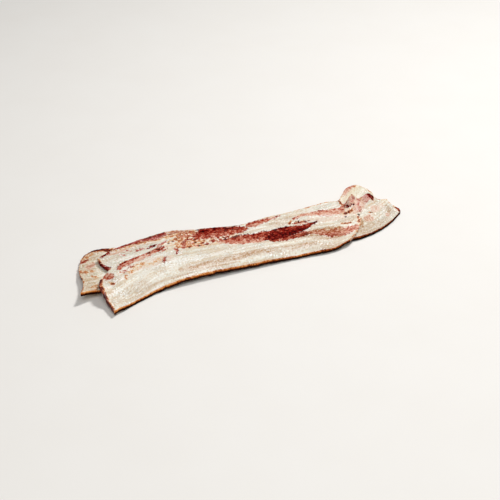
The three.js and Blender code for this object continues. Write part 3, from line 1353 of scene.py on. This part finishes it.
    def body(self, columns: int, rows: int) -> tuple[Array, list, dict[str, Array]]:
        """A closed body: a grid on top, a grid underneath and a rounded wall between them.

        Args:
            columns: Cells along the slice.
            rows: Cells across it.

        Returns:
            The points, the faces and the painted numbers.
        """
        u, v = share_grid(columns, rows)
        rim = rim_indices(columns, rows)
        angles = np.linspace(0.0, math.pi, WALL_STEPS + 1)[1:-1]
        insets = EDGE_ROUNDING * (1.0 - np.sin(angles) ** WALL_FULLNESS)
        shares = 0.5 * (1.0 + np.cos(angles))
        layers = [(u, v, EDGE_ROUNDING, 1.0), (u, v, EDGE_ROUNDING, 0.0)]
        layers += [(u[rim], v[rim], inset, share) for inset, share in zip(insets, shares)]
        points = []
        looks = []
        for layer_u, layer_v, inset, share in layers:
            near = self.edge_distances(layer_u, layer_v, inset)
            spots = self.frayed(self.plan(layer_u, layer_v, inset), near, share)
            x, y = spots.T
            painted = self.paint(x, y, near, np.full(x.shape, share))
            height = self.underside(x, y) + share * self.thickness(x, y)
            height = height + share**2 * self.relief(x, y, painted, near)
            points.append(np.column_stack([spots, height]))
            looks.append(painted)
        joined = {name: np.concatenate([part[name] for part in looks]) for name in looks[0]}
        return np.concatenate(points), body_faces(columns, rows, rim, len(shares)), joined


def share_grid(columns: int, rows: int) -> tuple[Array, Array]:
    """Shares along and across a slice at the corners of a grid of cells, each in one row."""
    u, v = np.meshgrid(np.linspace(0, 1, columns + 1), np.linspace(0, 1, rows + 1), indexing="ij")
    return u.ravel(), v.ravel()


def rim_indices(columns: int, rows: int) -> Array:
    """The points round the rim of a grid, counter-clockwise from above.

    Args:
        columns: Cells along the grid.
        rows: Cells across it.

    Returns:
        The numbers of the points.
    """
    step = rows + 1
    front = np.arange(columns) * step
    right = columns * step + np.arange(rows)
    back = np.arange(columns, 0, -1) * step + rows
    left = np.arange(rows, 0, -1)
    return np.concatenate([front, right, back, left])


def body_faces(columns: int, rows: int, rim: Array, rings: int) -> list[list[int]]:
    """The faces of a closed body.

    Args:
        columns: Cells along the grids.
        rows: Cells across them.
        rim: The rim of the top grid.
        rings: How many rings of points the wall has.

    Returns:
        Quads as lists of four points.
    """
    count = (columns + 1) * (rows + 1)
    i, j = np.meshgrid(np.arange(columns), np.arange(rows), indexing="ij")
    a = (i * (rows + 1) + j).ravel()
    b = a + rows + 1
    upper = np.column_stack([a, b, b + 1, a + 1])
    lower = np.column_stack([a, a + 1, b + 1, b]) + count
    loops = [rim]
    loops += [2 * count + ring * len(rim) + np.arange(len(rim)) for ring in range(rings)]
    loops += [rim + count]
    walls = [
        np.column_stack([high, low, np.roll(low, -1), np.roll(high, -1)])
        for high, low in zip(loops, loops[1:])
    ]
    return np.concatenate([upper, lower, *walls]).tolist()


@dataclass
class BottomSlice(BaconSlice):
    """The slice that lies flat, with its left end curled up."""

    name: str = "slice_bottom"
    rind: Points = (
        (-142, -18), (-127.5, -16), (-86, -18.5), (4, -20.5), (60, -18), (94, -9.5), (128, 14.5),
    )
    lean_edge: Points = (
        (-126, 33.5), (-121, 39.5), (-114.5, 43), (-81, 34.5), (4, 26.5), (82, 26.5),
        (103.5, 28), (109, 34), (119, 42.5), (125, 42),
    )
    left: Points = ((-142, -18), (-135.5, -3.5), (-132, 19), (-126, 33.5))
    right: Points = ((128, 14.5), (134, 24.5), (129.5, 40.5), (125, 42))
    seed: int = 11
    curls: tuple[Curl, ...] = (
        Curl((-146, -21.5), (-146, -21.5), 23, 30, 6.6),
        Curl((-135.5, 2.5), (-135.5, 2.5), 9, 12, 1.2),
        Curl((106, 29.5), (128, 43.5), 4, 4, 1.6),
    )
    loose: bool = False
    end_smoke: tuple[float, float, float] = (0.5, 0.3, 0.35)
    finish: RawPork = RawPork(fat="#e6e0cd", fat_white="#f6f2e6", fat_cool="#cfcdb8")
    bands: tuple[Band, ...] = (
        # Left end
        lean(0.42, (-128, 30, 1.2), (-124.5, 31.2, 1.8), (-121, 31.5, 1.1)),
        smoke(1.0, (-124, 37, 0.7), (-119, 41.3, 1), (-113.5, 43.4, 1.1), (-107, 42.2, 1)),
        smoke(0.9, (-110, 42, 1.2), (-104, 41, 1.8), (-100, 38, 1.5)),
        smoke(0.45, (-131, 17, 1.4), (-127.5, 14.5, 1.4)),
        smoke(0.5, (-123, 15, 0.9), (-121.5, 14.3, 0.7)),
        smoke(0.35, (-124.5, 6, 1.2), (-122.5, 5, 1.2)),
        blush(0.5, (-123, 21.5, 1.8), (-119, 24.5, 1.8)),
        # Painted shade over the curled-up left end, drawn as a stain
        stain_and_shade(0.35, (-134, -10, 6), (-131, 5, 6), (-127, 22, 6), (-122, 34, 5), (-112, 40, 4)),
        smoke(0.34, (-126.5, 34, 1.5), (-122, 36.5, 2.2), (-116, 39.5, 1.5)),
        smoke(0.3, (-129, -12, 2), (-123, -9, 2.4)),
        # A small hole darkened by painted shade
        pit_shade((-130.2, 27.7, 0.4), (-129.6, 28.2, 0.3)),
        # Right end
        lean(0.08, (107.5, 30.5, 1.2), (111, 34, 2.4), (115, 37.4, 2.9), (121, 40.5, 2.2)),
        lean(0.45, (112, 37.5, 0.6), (116, 41, 0.7), (120, 42.3, 0.9), (124.5, 41.5, 0.7)),
        lean(0.55, (106.5, 31, 0.4), (108.5, 34.5, 0.5), (112, 38, 0.4)),
        smoke(0.6, (122, 41, 1.4), (124, 40.5, 1.1)),
        # Long streaks, mostly covered
        lean(0.62, (-96, 22, 1.5), (-50, 12, 5), (10, 8, 6), (60, 8, 5), (96, 15, 2.5), tilt=0.15),
        lean(0.5, (-70, -5, 1.5), (-20, -6, 3.5), (40, -5, 4), (80, 2, 2)),
        lean(0.55, (-90, 32, 1.2), (-20, 23, 2.5), (40, 22, 2.5), (88, 23, 1.5)),
    )


@dataclass
class MiddleSlice(BaconSlice):
    """The slice between, whose right end reaches out from under the top one."""

    name: str = "slice_middle"
    rind: Points = (
        (-110, -12.5), (-60, -16.5), (4, -18.5), (49, -22), (72, -29.5), (99.5, -30), (120, -23.5),
        (140.5, -10),
    )
    lean_edge: Points = (
        (-114.5, 26), (-94, 34), (-84.5, 35.5), (-61.5, 44), (-42.5, 43), (-21, 27), (49, 20),
        (89, 19.5), (100.5, 14.5), (107, 18.5), (113, 22), (116, 18.5), (125, 20.5), (130, 12.5),
        (140.5, 12.5),
    )
    left: Points = ((-110, -12.5), (-111, 5), (-114.5, 17.5), (-114.5, 26))
    right: Points = ((140.5, -10), (142, -7), (140.5, 1.5), (140.5, 12.5))
    seed: int = 23
    finish: RawPork = RawPork(fat="#e2dfd2", fat_cool="#c7c8bb", lean=(
        (0.0, "#dcb6ac"),
        (0.2, "#cc948a"),
        (0.4, "#b2574a"),
        (0.6, "#8e1a12"),
        (0.8, "#540606"),
        (1.0, "#260203"),
    ))
    curls: tuple[Curl, ...] = (
        Curl((103, 8.5), (111, 26.5), 4, 4, 4.2),
        Curl((120, 6.5), (129, 20.5), 4.5, 4.5, 2.6),
    )
    creases: tuple[Hollow, ...] = (
        Hollow(((97, 12.5), (98.5, 8.5), (101, 6.3), (104, 6.6), (107, 8.8), (109, 11.5)), 0.9, 0.7),
        Hollow(((102.5, 10), (105, 13.5), (109, 18), (111.5, 22)), 1.7, -0.5),
        Hollow(((104.5, 10), (108.5, 14.5), (112.5, 19)), 0.8, 0.6),
        Hollow(((92.5, 0.3), (95, -0.4), (98, 1.6), (102, 3)), 0.8, 0.7),
        Hollow(((96, 3.6), (100, 4.6), (104, 4.8)), 1.2, -0.4),
        Hollow(((121.5, 12), (124, 18)), 2.2, -0.5),
        Hollow(((124.8, 9), (126.6, 13), (127, 17)), 0.8, 0.7),
        Hollow(((103, -1), (103.2, -5), (100.5, -10.5), (97.5, -17)), 0.8, 0.35),
        Hollow(((113.5, -4.5), (117, -3.5), (122, 0)), 0.8, 0.35),
    )
    thin_from: float = 70.0
    thin_to: float = 130.0
    thin_thickness: float = 2.3
    rind_char: tuple[float, float] = (0.04, 0.45)
    end_smoke: tuple[float, float, float] = (0.5, 0.35, 0.45)
    bands: tuple[Band, ...] = (
        # Left end and the strip behind the top slice
        # Dark lean along the left end: partly the cut meat, partly painted shade in the crevice under that
        # end
        lean(0.7, (-116.2, 22, 1.4), (-114.3, 15, 2), (-111.6, 8, 2), (-109.5, 3, 1.2)),
        lean(0.55, (-113.5, 25.8, 0.8), (-110, 27, 1.3), (-105, 28.8, 1.5), (-101, 30.2, 0.8)),
        blush(0.4, (-104, 27, 1), (-96, 28, 1.8), (-88, 29.5, 1)),
        lean(0.2, (-93, 24, 0.4), (-88, 25, 0.7), (-84, 25.6, 0.4)),
        lean(0.5, (-98, 31.2, 0.9), (-92, 33, 2.1), (-86, 34, 2), (-80, 34.8, 2.4), (-73, 37.5, 2.3)),
        lean(
            0.56, (-73, 35.5, 1.8), (-67, 36.6, 4.6), (-61, 37.4, 6), (-55.5, 39, 5), (-51, 42, 1.6),
            tilt=0.2,
        ),
        lean(0.35, (-51.5, 37, 0.6), (-48.5, 38.5, 1.3), (-45.5, 38, 0.7)),
        lean(0.4, (-50, 43, 0.8), (-44, 42.6, 0.9), (-38, 39.5, 0.6)),
        lean(0.3, (-44, 35.5, 0.6), (-41, 35.8, 1)),
        lean(0.36, (-84, 22.2, 0.8), (-80, 22.4, 1.3), (-76, 22.8, 1.1)),
        lean(0.66, (-74.5, 21.8, 0.8), (-70, 22.6, 1.5), (-65.5, 24, 1)),
        lean(0.3, (-66, 21, 0.8), (-61, 23, 1.4), (-57, 25.5, 0.9)),
        lean(0.1, (-96.5, 22.8, 0.9), (-94, 20.5, 1)),
        smoke(0.5, (-98, 32.5, 1.2), (-84, 34.5, 2), (-70, 36, 3.5), (-62, 37, 5), (-56, 38, 4.5)),
        smoke(0.54, (-54, 37, 5), (-46, 36.5, 5.5), (-38, 34, 4.5)),
        stain_and_shade(0.15, (-108, 22, 4), (-95, 26, 5), (-80, 29, 5), (-66, 33, 4)),
        # Right end: the first fold, with a crease round its foot that painted shade darkens
        blush(0.7, (101, 9.5, 1.6), (103.8, 12, 2.8), (107, 17, 2.6), (110, 21.5, 1.6)),
        # Painted shade on the fold's left flank, drawn as browned fat
        smoke(0.85, (98.4, 20, 1), (99.6, 16.5, 1.4), (99.8, 13.5, 1.2)),
        # White painted highlights on a wet spot
        wet_painted_glint((101.5, 10.6, 0.6), (102.6, 11.6, 0.5)),
        lean(0.34, (100, 12.5, 0.6), (102.5, 16, 1), (105.5, 20, 0.9), (109, 24, 0.6)),
        lean(0.28, (104, 10, 0.4), (107.5, 13.5, 0.7), (111, 17.5, 0.6)),
        # Painted shade in the creases: dark lean round the fold's foot and along the crease on its top,
        # and browned fat at the crease's left end
        lean(
            0.72, (98, 13.5, 0.8), (98.6, 10, 0.9), (100.5, 7.3, 0.8), (104, 7.2, 0.7),
            (107.5, 9.6, 0.6),
        ),
        lean(0.7, (98, 13.5, 0.8), (99.5, 17, 0.9), (101.5, 21, 0.7)),
        lean(0.5, (105, 10.5, 0.6), (108.5, 14.5, 0.7), (112.5, 19, 0.6)),
        smoke(0.6, (96.8, 11, 0.8), (97.5, 9, 0.8)),
        # The slit under it
        smoke(
            0.68, (92.6, 0.2, 0.9), (94.6, -0.2, 1.4), (96.6, 1, 0.8), (98.6, 1.9, 1.1), (101, 2.8, 0.5),
        ),
        # A small hole in the slit, darkened by painted shade
        pit_shade((93.8, -0.3, 0.3), (94.8, 0, 0.3)),
        # The second fold, dark red where it is wettest
        lean(0.06, (118, 9, 1.4), (120.6, 13, 3), (122.2, 18, 2.6), tilt=-0.1),
        lean(0.8, (123.8, 12.4, 1.2), (124.7, 15.4, 2.4), (125, 19, 1.8)),
        # Painted shade in the crease beside the dark spot, drawn as browned fat
        smoke(1.0, (124.4, 10, 0.7), (126.4, 13.5, 0.9), (128, 18, 0.9)),
        # Granular pink between the folds
        blush(0.4, (101, -1, 1.2), (106, 3, 3), (110.5, 8, 3.6), (114.5, 13, 3), (117, 17, 1.8)),
        lean(0.16, (103, 0.5, 0.8), (107, 3.8, 1.4), (110, 6, 0.9)),
        lean(0.2, (109, 9, 0.8), (113.5, 13.5, 1.2), (115.5, 17.5, 0.8)),
        lean(0.24, (101, -2, 0.5), (105, -1.2, 0.7), (109, 0.8, 0.5)),
        # Pinkish fat towards the end
        stain_and_shade(0.15, (98, -5, 5), (108, -4, 6), (122, 3, 6), (134, 3, 4)),
        stain_and_shade(0.38, (98, -24, 4), (110, -21, 4.5), (121, -17.5, 3.5)),
        # Soft marks and creases in the fat at the end
        blush(0.42, (108, -11.6, 1.7), (111.4, -10.2, 2.2)),
        stain_and_shade(0.42, (105.5, -12.4, 2), (111, -10.4, 2)),
        blush(0.34, (118.5, -1.6, 1), (122, 0.6, 2), (125, 2, 1)),
        blush(0.42, (127.2, -11.4, 1), (128.4, -9.2, 1.2)),
        blush(0.15, (126, 2, 1.6), (131, 5, 2)),
        stain_and_shade(0.5, (131, -8, 1.1), (133.5, -3, 1.2), (135, 2.5, 1.2)),
        lean(0.5, (141, -7.8, 0.9), (140.6, -5, 0.9)),
        smoke(1.0, (140.4, -3, 0.6), (141.4, -6, 0.9), (140.4, -9.6, 0.9)),
        # White painted highlights on wet spots
        wet_painted_glint((139.6, 0.6, 0.8), (140.4, 3.4, 0.9)),
        wet_painted_glint((108.5, -1.2, 0.6), (112, 0.2, 0.9)),
        smoke(0.5, (113.8, -4.2, 0.4), (117, -4, 0.5)),
        smoke(0.35, (115, 20, 1), (118, 16, 1)),
        # Painted shade in the crease beside the pink-brown mark, drawn as a stain
        stain_and_shade(0.9, (99, -17.5, 1.2), (100.4, -14.2, 1.4), (102, -12, 0.8)),
        stain_and_shade(0.3, (118, -20, 1.5), (128, -13.5, 1.8), (134, -8, 1.5)),
        stain_and_shade(0.3, (112, 18, 2), (117, 17, 2), (120, 8, 2)),
        # Small holes darkened by painted shade
        pit_shade((91.2, -3.8, 0.5), (91.6, -4.3, 0.4)),
        pit_shade((102.8, -4.8, 0.5), (103.3, -5.6, 0.5)),
        pit_shade((99.7, -10.8, 0.4), (100, -11.3, 0.4)),
        pit_shade((116, -3.6, 0.3), (116.8, -4, 0.3)),
        # Long streaks, mostly covered
        lean(0.6, (-72, 8, 1.5), (-30, 4, 4.5), (20, 2, 5), (60, 0, 4), (82, -3, 1.5), tilt=0.15),
        lean(0.5, (-52, 24, 2), (-10, 15, 3), (30, 12, 3), (72, 11, 1.5)),
    )


@dataclass
class TopSlice(BaconSlice):
    """The slice on top, draped over both others."""

    name: str = "slice_top"
    rind: Points = (
        (-125, -44.5), (-104, -36.5), (-84.5, -30.5), (-71, -29.5), (-5, -32), (44.5, -36), (60, -38),
        (77.5, -35.5),
    )
    lean_edge: Points = (
        (-122, -5), (-107, 3.5), (-64.5, 16), (-34, 26), (6, 17.5), (23, 17.5), (73, 19.5), (87, 20),
        (96, 16),
    )
    left: Points = ((-125, -44.5), (-126.5, -28), (-127, -17.5), (-122, -5))
    right: Points = (
        (77.5, -35.5), (92, -25), (99, -16), (99, -10.5), (93, -6), (92.5, -1), (95, 7), (96, 16),
    )
    seed: int = 37
    curls: tuple[Curl, ...] = (Curl((-127, -23.5), (-123, -37.5), 9, 9, 2),)
    hollows: tuple[Hollow, ...] = (
        Hollow(((-24, -2), (20, -1), (48, -3), (66, 1)), 6, 0.35),
        Hollow(((52, -24), (68, -20), (92, -19)), 5, 0.25),
    )
    creases: tuple[Hollow, ...] = (
        Hollow(((43, 1.5), (44.5, 4), (47, 5.5), (52, 4.6)), 0.8, 0.4),
        Hollow(((46, 2.6), (52, 3), (59, 1.4)), 1.5, -0.4),
        Hollow(((45.5, 0.6), (50, 0.4), (56, -0.4), (61, -1.2)), 0.7, 0.6),
        Hollow(((81, -16.2), (84, -17.6), (88, -17.8)), 0.8, 0.35),
    )
    thin_from: float = -56.0
    thin_to: float = 64.0
    thin_thickness: float = 2.8
    end_smoke: tuple[float, float, float] = (0.95, 0.3, 0.35)
    bands: tuple[Band, ...] = (
        # Main dark streak
        lean(
            0.36, (-21, 2, 1.4), (-13, -1, 3.6), (-5, -3.2, 6), (3, -5.4, 6.8), (10, -6.8, 6.8),
            tilt=0.26,
        ),
        lean(0.5, (-19.5, 6.5, 1.2), (-18, 4, 1.6), (-17.5, 1, 1)),
        lean(0.55, (-13.5, 5, 1.2), (-11.5, 4.3, 1.5)),
        lean(0.6, (-8.5, 2.5, 1.3), (-2, 1.8, 1.4), (5, 0.5, 1.2)),
        lean(
            0.72, (9, -5, 4), (14, -6.2, 6.3), (20, -8.7, 7.2), (27, -8.5, 7.5), (35, -7.7, 7.4),
            (42, -7.9, 6.2), (50, -8, 4.3), (57, -6.8, 2.7), (64, -5.2, 0.5), tilt=-0.12,
        ),
        lean(1.0, (27, -11.8, 1.5), (34, -11, 2.7), (42, -10, 3.1), (49, -9, 2)),
        lean(0.8, (13, -0.6, 0.5), (21, -2.2, 1), (31, -1.4, 1.1), (40, -2.4, 1.1), (49, -4.6, 0.7)),
        # Painted shade: a soft band under the main streak, drawn as lean and a stain
        lean(0.48, (19, -15.8, 2.2), (28, -16.8, 2.4), (38, -16.8, 2.8), (48, -17, 3)),
        stain_and_shade(0.35, (20, -16, 2), (30, -17, 2), (44, -17, 2)),
        # Brown-pink band towards the right end
        lean(
            0.2, (48, -17, 2), (58, -20.5, 3.2), (66, -24, 4.2), (75, -25, 4.2), (83, -24.6, 3.2),
            (92, -23.3, 1.6), tilt=-0.12,
        ),
        stain_and_shade(0.85, (44, -18.5, 1.5), (54, -20, 3), (64, -21, 3), (76, -21.5, 1.6)),
        stain_and_shade(0.55, (54, -21, 3.6), (62, -23.4, 4.6), (71, -25, 4.2)),
        # Back band
        lean(
            0.54, (-36, 12.5, 1.6), (-32, 14.8, 4.8), (-27, 16.5, 7.4), (-20, 16, 8.5), (-12, 13.8, 7.6),
            (-5, 12.2, 6.4), (2, 10.8, 4.8), (7, 9.5, 1.8), tilt=0.16,
        ),
        lean(0.85, (-29, 20.5, 1.6), (-23, 20.5, 3), (-16, 19.3, 2.2)),
        lean(0.26, (-10, 10.8, 2.2), (-4, 10.4, 3.4), (2, 9.2, 2)),
        lean(
            0.38, (8.5, 13, 1.2), (12, 13, 3.4), (18, 13.2, 3.7), (25, 13.5, 2.7), (32, 14.2, 1.6),
            (42, 15.8, 0.3), tilt=0.12,
        ),
        lean(0.72, (-31, 24.6, 0.7), (-22, 23.8, 1), (-12, 21.6, 1), (-2, 18.9, 0.9), (6, 17.2, 0.5)),
        lean(0.75, (-9, 18.6, 0.6), (-8, 16.5, 1.1)),
        lean(0.75, (-4.8, 18.5, 0.5), (-3.6, 16.9, 1)),
        lean(0.7, (-1, 16.8, 0.7), (1, 15.8, 0.5)),
        lean(0.7, (1.8, 14.3, 0.5), (3.2, 13.6, 0.4)),
        lean(0.65, (13.5, 17.2, 0.5), (18, 17.5, 0.4)),
        # Pale pink band towards the right end
        lean(
            0.18, (48, 6.3, 0.8), (54, 8, 1.3), (60, 8.3, 1.8), (66, 6.5, 2.8), (73, 4.5, 4.2),
            (80, 2.2, 5.2), (87, 1.8, 5.2), (94, 2.5, 4.5), tilt=0.1,
        ),
        lean(0.6, (50, 6.7, 0.5), (52, 5.9, 0.5)),
        lean(0.55, (64, 8.4, 0.5), (68, 8.9, 0.4)),
        lean(0.6, (71, 9.1, 0.6), (76.5, 8.4, 0.5)),
        # Small streak under the curl of fat
        lean(0.6, (45.5, 0.8, 0.6), (48, 0.3, 1.1), (51, 0.4, 0.7), (56, -0.4, 0.7), (59, -1, 0.3)),
        smoke(0.9, (45.5, 0.6, 0.3), (50, 0.3, 0.5), (55, -0.4, 0.4)),
        lean(0.12, (47, -1.6, 0.5), (52, -2.4, 0.9), (56, -3.1, 0.4)),
        smoke(0.8, (42, 1.8, 0.4), (43.5, 3.6, 0.6), (45.3, 5.2, 0.4)),
        # Thin streak and specks towards the left end
        lean(
            0.36, (-106, -2, 1.5), (-103, 1.2, 2.4), (-98, 3.8, 2.6), (-92, 6.6, 2.3), (-86, 9.1, 2.1),
            (-79, 11.2, 2), (-73, 12.2, 2), (-67, 12.8, 1.4), tilt=0.22,
        ),
        lean(0.7, (-77.5, 12, 0.9), (-73, 13.2, 1.5), (-68.5, 13.4, 1.6), (-64.5, 14.4, 0.8)),
        lean(0.1, (-101, 0, 0.8), (-94, 2.8, 1.5), (-85, 6, 1.8), (-76, 8.5, 1.6), (-69, 10.5, 1)),
        lean(0.5, (-97.5, 1, 0.5), (-92, 3.5, 0.8), (-86, 5.8, 0.5)),
        lean(0.5, (-75, 10, 1), (-69, 10.8, 1.7), (-63.5, 12, 1.2)),
        lean(0.45, (-68, 7.4, 0.6), (-64.5, 8.4, 0.9), (-61, 9.4, 0.6)),
        lean(0.28, (-118, -4.4, 1.6), (-116, -6.6, 3.5), (-114.4, -9, 1.8)),
        lean(0.5, (-104.5, -4.8, 0.6), (-102, -5.8, 1), (-100, -6.7, 0.5)),
        lean(0.45, (-98.5, -3.6, 0.5), (-96, -2.6, 0.9), (-94, -1.6, 0.4)),
        lean(0.08, (-107, -6.5, 1), (-104, -7.3, 0.9)),
        lean(0.6, (-71.3, -9.3, 0.5), (-70.2, -6, 1.2), (-68.8, -3, 1.2), (-66.8, -0.5, 0.5)),
        lean(0.42, (-57.5, -0.5, 0.6), (-56, 2, 1.5), (-55.6, 5, 1.4), (-56.5, 7.5, 0.6)),
        lean(0.28, (-50.5, 5, 0.9), (-48, 8, 1.9), (-46.5, 10.8, 1)),
        lean(0.5, (-48, 12, 0.7), (-44, 13, 0.7)),
        lean(0.3, (-44, 9.3, 0.8), (-41, 8, 1)),
        lean(0.22, (-39, 4.7, 1.4), (-36, 3, 0.9)),
        lean(0.35, (-30.5, 7.5, 0.7), (-28.5, 5.2, 0.7)),
        # Small holes darkened by painted shade
        pit_shade((-77.2, 11, 0.4), (-75.8, 11.4, 0.4)),
        pit_shade((-69.5, 12.4, 0.4), (-67.2, 12.2, 0.5)),
        pit_shade((-58.4, 15.6, 0.3), (-57.6, 15.5, 0.3)),
        pit_shade((-54.6, 16.4, 0.3), (-54.2, 16.8, 0.3)),
        pit_shade((-38.2, 8.5, 0.4), (-37.8, 8, 0.4)),
        pit_shade((-37, 3.5, 0.4), (-36.6, 3, 0.3)),
        pit_shade((-45.3, 3.8, 0.3), (-45, 3.4, 0.3)),
        pit_shade((88.3, -9, 0.5), (88.8, -8.8, 0.4)),
        # Browned and tinged fat
        smoke(0.16, (-62, 10, 3), (-56, 11, 4), (-50, 15, 4)),
        smoke(0.42, (-50, 9.5, 3), (-44, 9.5, 4.5), (-36, 8, 4.5)),
        smoke(0.26, (-34, 6, 3), (-24, 4.5, 3), (-14, 4, 3), (-6, 3.5, 1.5)),
        lean(0.5, (-33, 4.5, 0.7), (-30, 2.8, 1.4), (-26.5, 3, 0.7)),
        lean(0.45, (-26.5, 6.5, 0.7), (-24, 4, 1.4), (-21.5, 5, 0.8)),
        smoke(0.34, (-56, 19, 2), (-50, 21, 3)),
        smoke(0.56, (-49, 18.5, 2.4), (-42, 21, 4), (-36, 21.5, 4)),
        lean(0.2, (-46, 18.5, 0.7), (-42.5, 19.5, 1.5), (-38.5, 20, 1)),
        lean(0.3, (-37, 17.5, 0.8), (-34.5, 19, 1.6), (-34, 21, 1)),
        lean(0.45, (-48, 22.8, 0.6), (-42, 24, 1), (-35, 24.8, 0.8)),
        lean(0.4, (-46, 14.5, 0.6), (-42, 13.8, 1.3), (-38.5, 13.5, 0.8)),
        lean(0.5, (-54.5, 17.6, 0.4), (-53.5, 16.4, 0.6)),
        stain_and_shade(0.35, (28, 6, 2), (38, 6, 3), (46, 8, 2)),
        stain_and_shade(0.55, (-62, -22, 1.2), (-30, -23.2, 1.7), (0, -24, 1.8), (14, -25.2, 1)),
        stain_and_shade(0.42, (10, -25.5, 1.4), (30, -27.6, 1.8), (50, -30, 1)),
        stain_and_shade(0.3, (-95, -26.6, 0.5), (-60, -26, 0.5), (-20, -27.2, 0.5)),
        stain_and_shade(0.1, (-123, -22, 2.5), (-120, -30, 2.5)),
        stain_and_shade(0.15, (-121, -11, 2.5), (-112, -14, 3.5), (-104, -12, 3)),
        stain_and_shade(0.18, (-114, -31, 3), (-104, -28, 4), (-94, -25, 3)),
        stain_and_shade(0.16, (44, -33.5, 1.6), (56, -34, 2), (68, -34, 1.6)),
        smoke(0.3, (-99, -9, 1.6), (-93, -5, 2.2), (-86, -3, 1.8)),
        smoke(0.24, (-84, -6, 1.2), (-76, -4.5, 2), (-70, -1, 1.6)),
        smoke(0.4, (-104, -12.5, 0.7), (-104.7, -16, 0.7)),
        smoke(0.9, (-125.8, -42, 1), (-126.8, -28, 1.4), (-127, -17.5, 1.6), (-123, -7, 1.2)),
        # White painted highlights on wet spots
        wet_painted_glint((-114.8, -23, 1.2), (-112.4, -26, 2), (-111, -28.8, 1.2)),
        wet_painted_glint((-69, -13, 2.5), (-57, -12, 3.5), (-45, -13, 2.5)),
        wet_painted_glint((62, 3, 1), (74, -1, 1.2), (84, -5, 1)),
        smoke(0.6, (-117.7, -13, 0.4), (-117, -15.5, 0.4), (-115.6, -17.5, 0.5)),
        smoke(1.0, (90, -5.2, 1), (93, -4.3, 1.2)),
        smoke(0.8, (94.6, 4, 0.7), (95, 10, 0.7), (96, 16, 0.7)),
        smoke(0.6, (98.5, -13, 0.7), (96, -19, 0.9)),
        stain_and_shade(0.3, (83, -13.5, 2.4), (93, -13, 2.4)),
        smoke(0.7, (81, -16.4, 0.4), (85, -17.6, 0.5), (89, -17.6, 0.3)),
        smoke(0.7, (65.5, 18, 0.8), (67.5, 19, 1)),
        blush(0.22, (-96, -5, 3), (-80, -4, 4), (-66, -5, 3)),
        blush(0.2, (62, 1, 2), (72, -5, 3), (88, -8, 2)),
    )


def add_object(name: str, data: bpy.types.ID) -> bpy.types.Object:
    """Puts a mesh, a light or a camera into the scene.

    Args:
        name: The object's name.
        data: What it shows.

    Returns:
        The object.
    """
    item = bpy.data.objects.new(name, data)
    bpy.context.scene.collection.objects.link(item)
    return item


@dataclass(frozen=True)
class Lamp:
    """A soft square lamp that faces the pile."""

    name: str
    direction: Spot
    distance: float
    side: float
    power: float

    def build(self) -> None:
        """Adds the lamp."""
        place = Vector(self.direction).normalized() * self.distance
        light = bpy.data.lights.new(self.name, "AREA")
        light.size = self.side
        light.energy = self.power
        lamp = add_object(self.name, light)
        lamp.location = place
        lamp.rotation_mode = "QUATERNION"
        lamp.rotation_quaternion = (-place).to_track_quat("-Z", "Y")


@dataclass
class Studio:
    """The pale floor, the soft light and the camera, in metres."""

    floor_side: float = 8.0
    floor_drop: float = 0.0001
    sky: str = "#f4f6f8"
    sky_strength: float = 0.2
    camera_place: Spot = (-0.319627, -0.711547, 0.5076)
    camera_aim: Spot = (0.00314, -0.005936, 0.0)
    camera_roll: float = -0.01054
    lens: float = 83.12
    sensor: float = 36.0
    lamps: tuple[Lamp, ...] = (
        Lamp("key_lamp", direction=(0.6, 0.18, 1.0), distance=1.4, side=0.25, power=14.5),
        Lamp("fill_lamp", direction=(-0.3, -0.6, 1.0), distance=1.6, side=1.1, power=12.0),
    )
    finish: PaleFloor = PaleFloor()

    def build(self) -> bpy.types.Object:
        """Makes the whole studio.

        Returns:
            The floor.
        """
        bpy.context.scene.view_settings.view_transform = "Standard"
        self.light_sky()
        for lamp in self.lamps:
            lamp.build()
        self.set_camera()
        return self.lay_floor()

    def light_sky(self) -> None:
        """Lights the pile evenly from all round."""
        world = bpy.data.worlds.new("soft_sky")
        world.use_nodes = True
        background = world.node_tree.nodes["Background"]
        background.inputs["Color"].default_value = linear(self.sky)
        background.inputs["Strength"].default_value = self.sky_strength
        bpy.context.scene.world = world

    def set_camera(self) -> None:
        """Stands the camera where the picture was taken."""
        data = bpy.data.cameras.new("camera")
        data.lens = self.lens
        data.sensor_width = self.sensor
        camera = add_object("camera", data)
        place = Vector(self.camera_place)
        turn = (Vector(self.camera_aim) - place).to_track_quat("-Z", "Y")
        turn = turn @ Quaternion((0.0, 0.0, 1.0), self.camera_roll)
        camera.matrix_world = Matrix.Translation(place) @ turn.to_matrix().to_4x4()
        bpy.context.scene.camera = camera

    def lay_floor(self) -> bpy.types.Object:
        """Lays the floor just under the pile.

        Returns:
            The floor.
        """
        half = self.floor_side / 2
        signs = ((-1, -1), (1, -1), (1, 1), (-1, 1))
        corners = [(x * half, y * half, -self.floor_drop) for x, y in signs]
        mesh = bpy.data.meshes.new("floor")
        mesh.from_pydata(corners, [], [(0, 1, 2, 3)])
        mesh.materials.append(self.finish.material())
        floor = add_object("floor", mesh)
        return floor


def main() -> None:
    """Builds the studio and the slices, from the lowest up."""
    logging.basicConfig(level=logging.INFO, format="%(message)s")
    Studio().build()
    bottom = BottomSlice()
    middle = MiddleSlice(under=(bottom,))
    top = TopSlice(under=(bottom, middle))
    for part in (bottom, middle, top):
        piece = part.build()
        size = piece.dimensions / MILLIMETRE
        LOG.info("%s: %d faces, %.0f by %.0f by %.0f mm", piece.name, len(piece.data.polygons), *size)


if __name__ == "__main__":
    main()
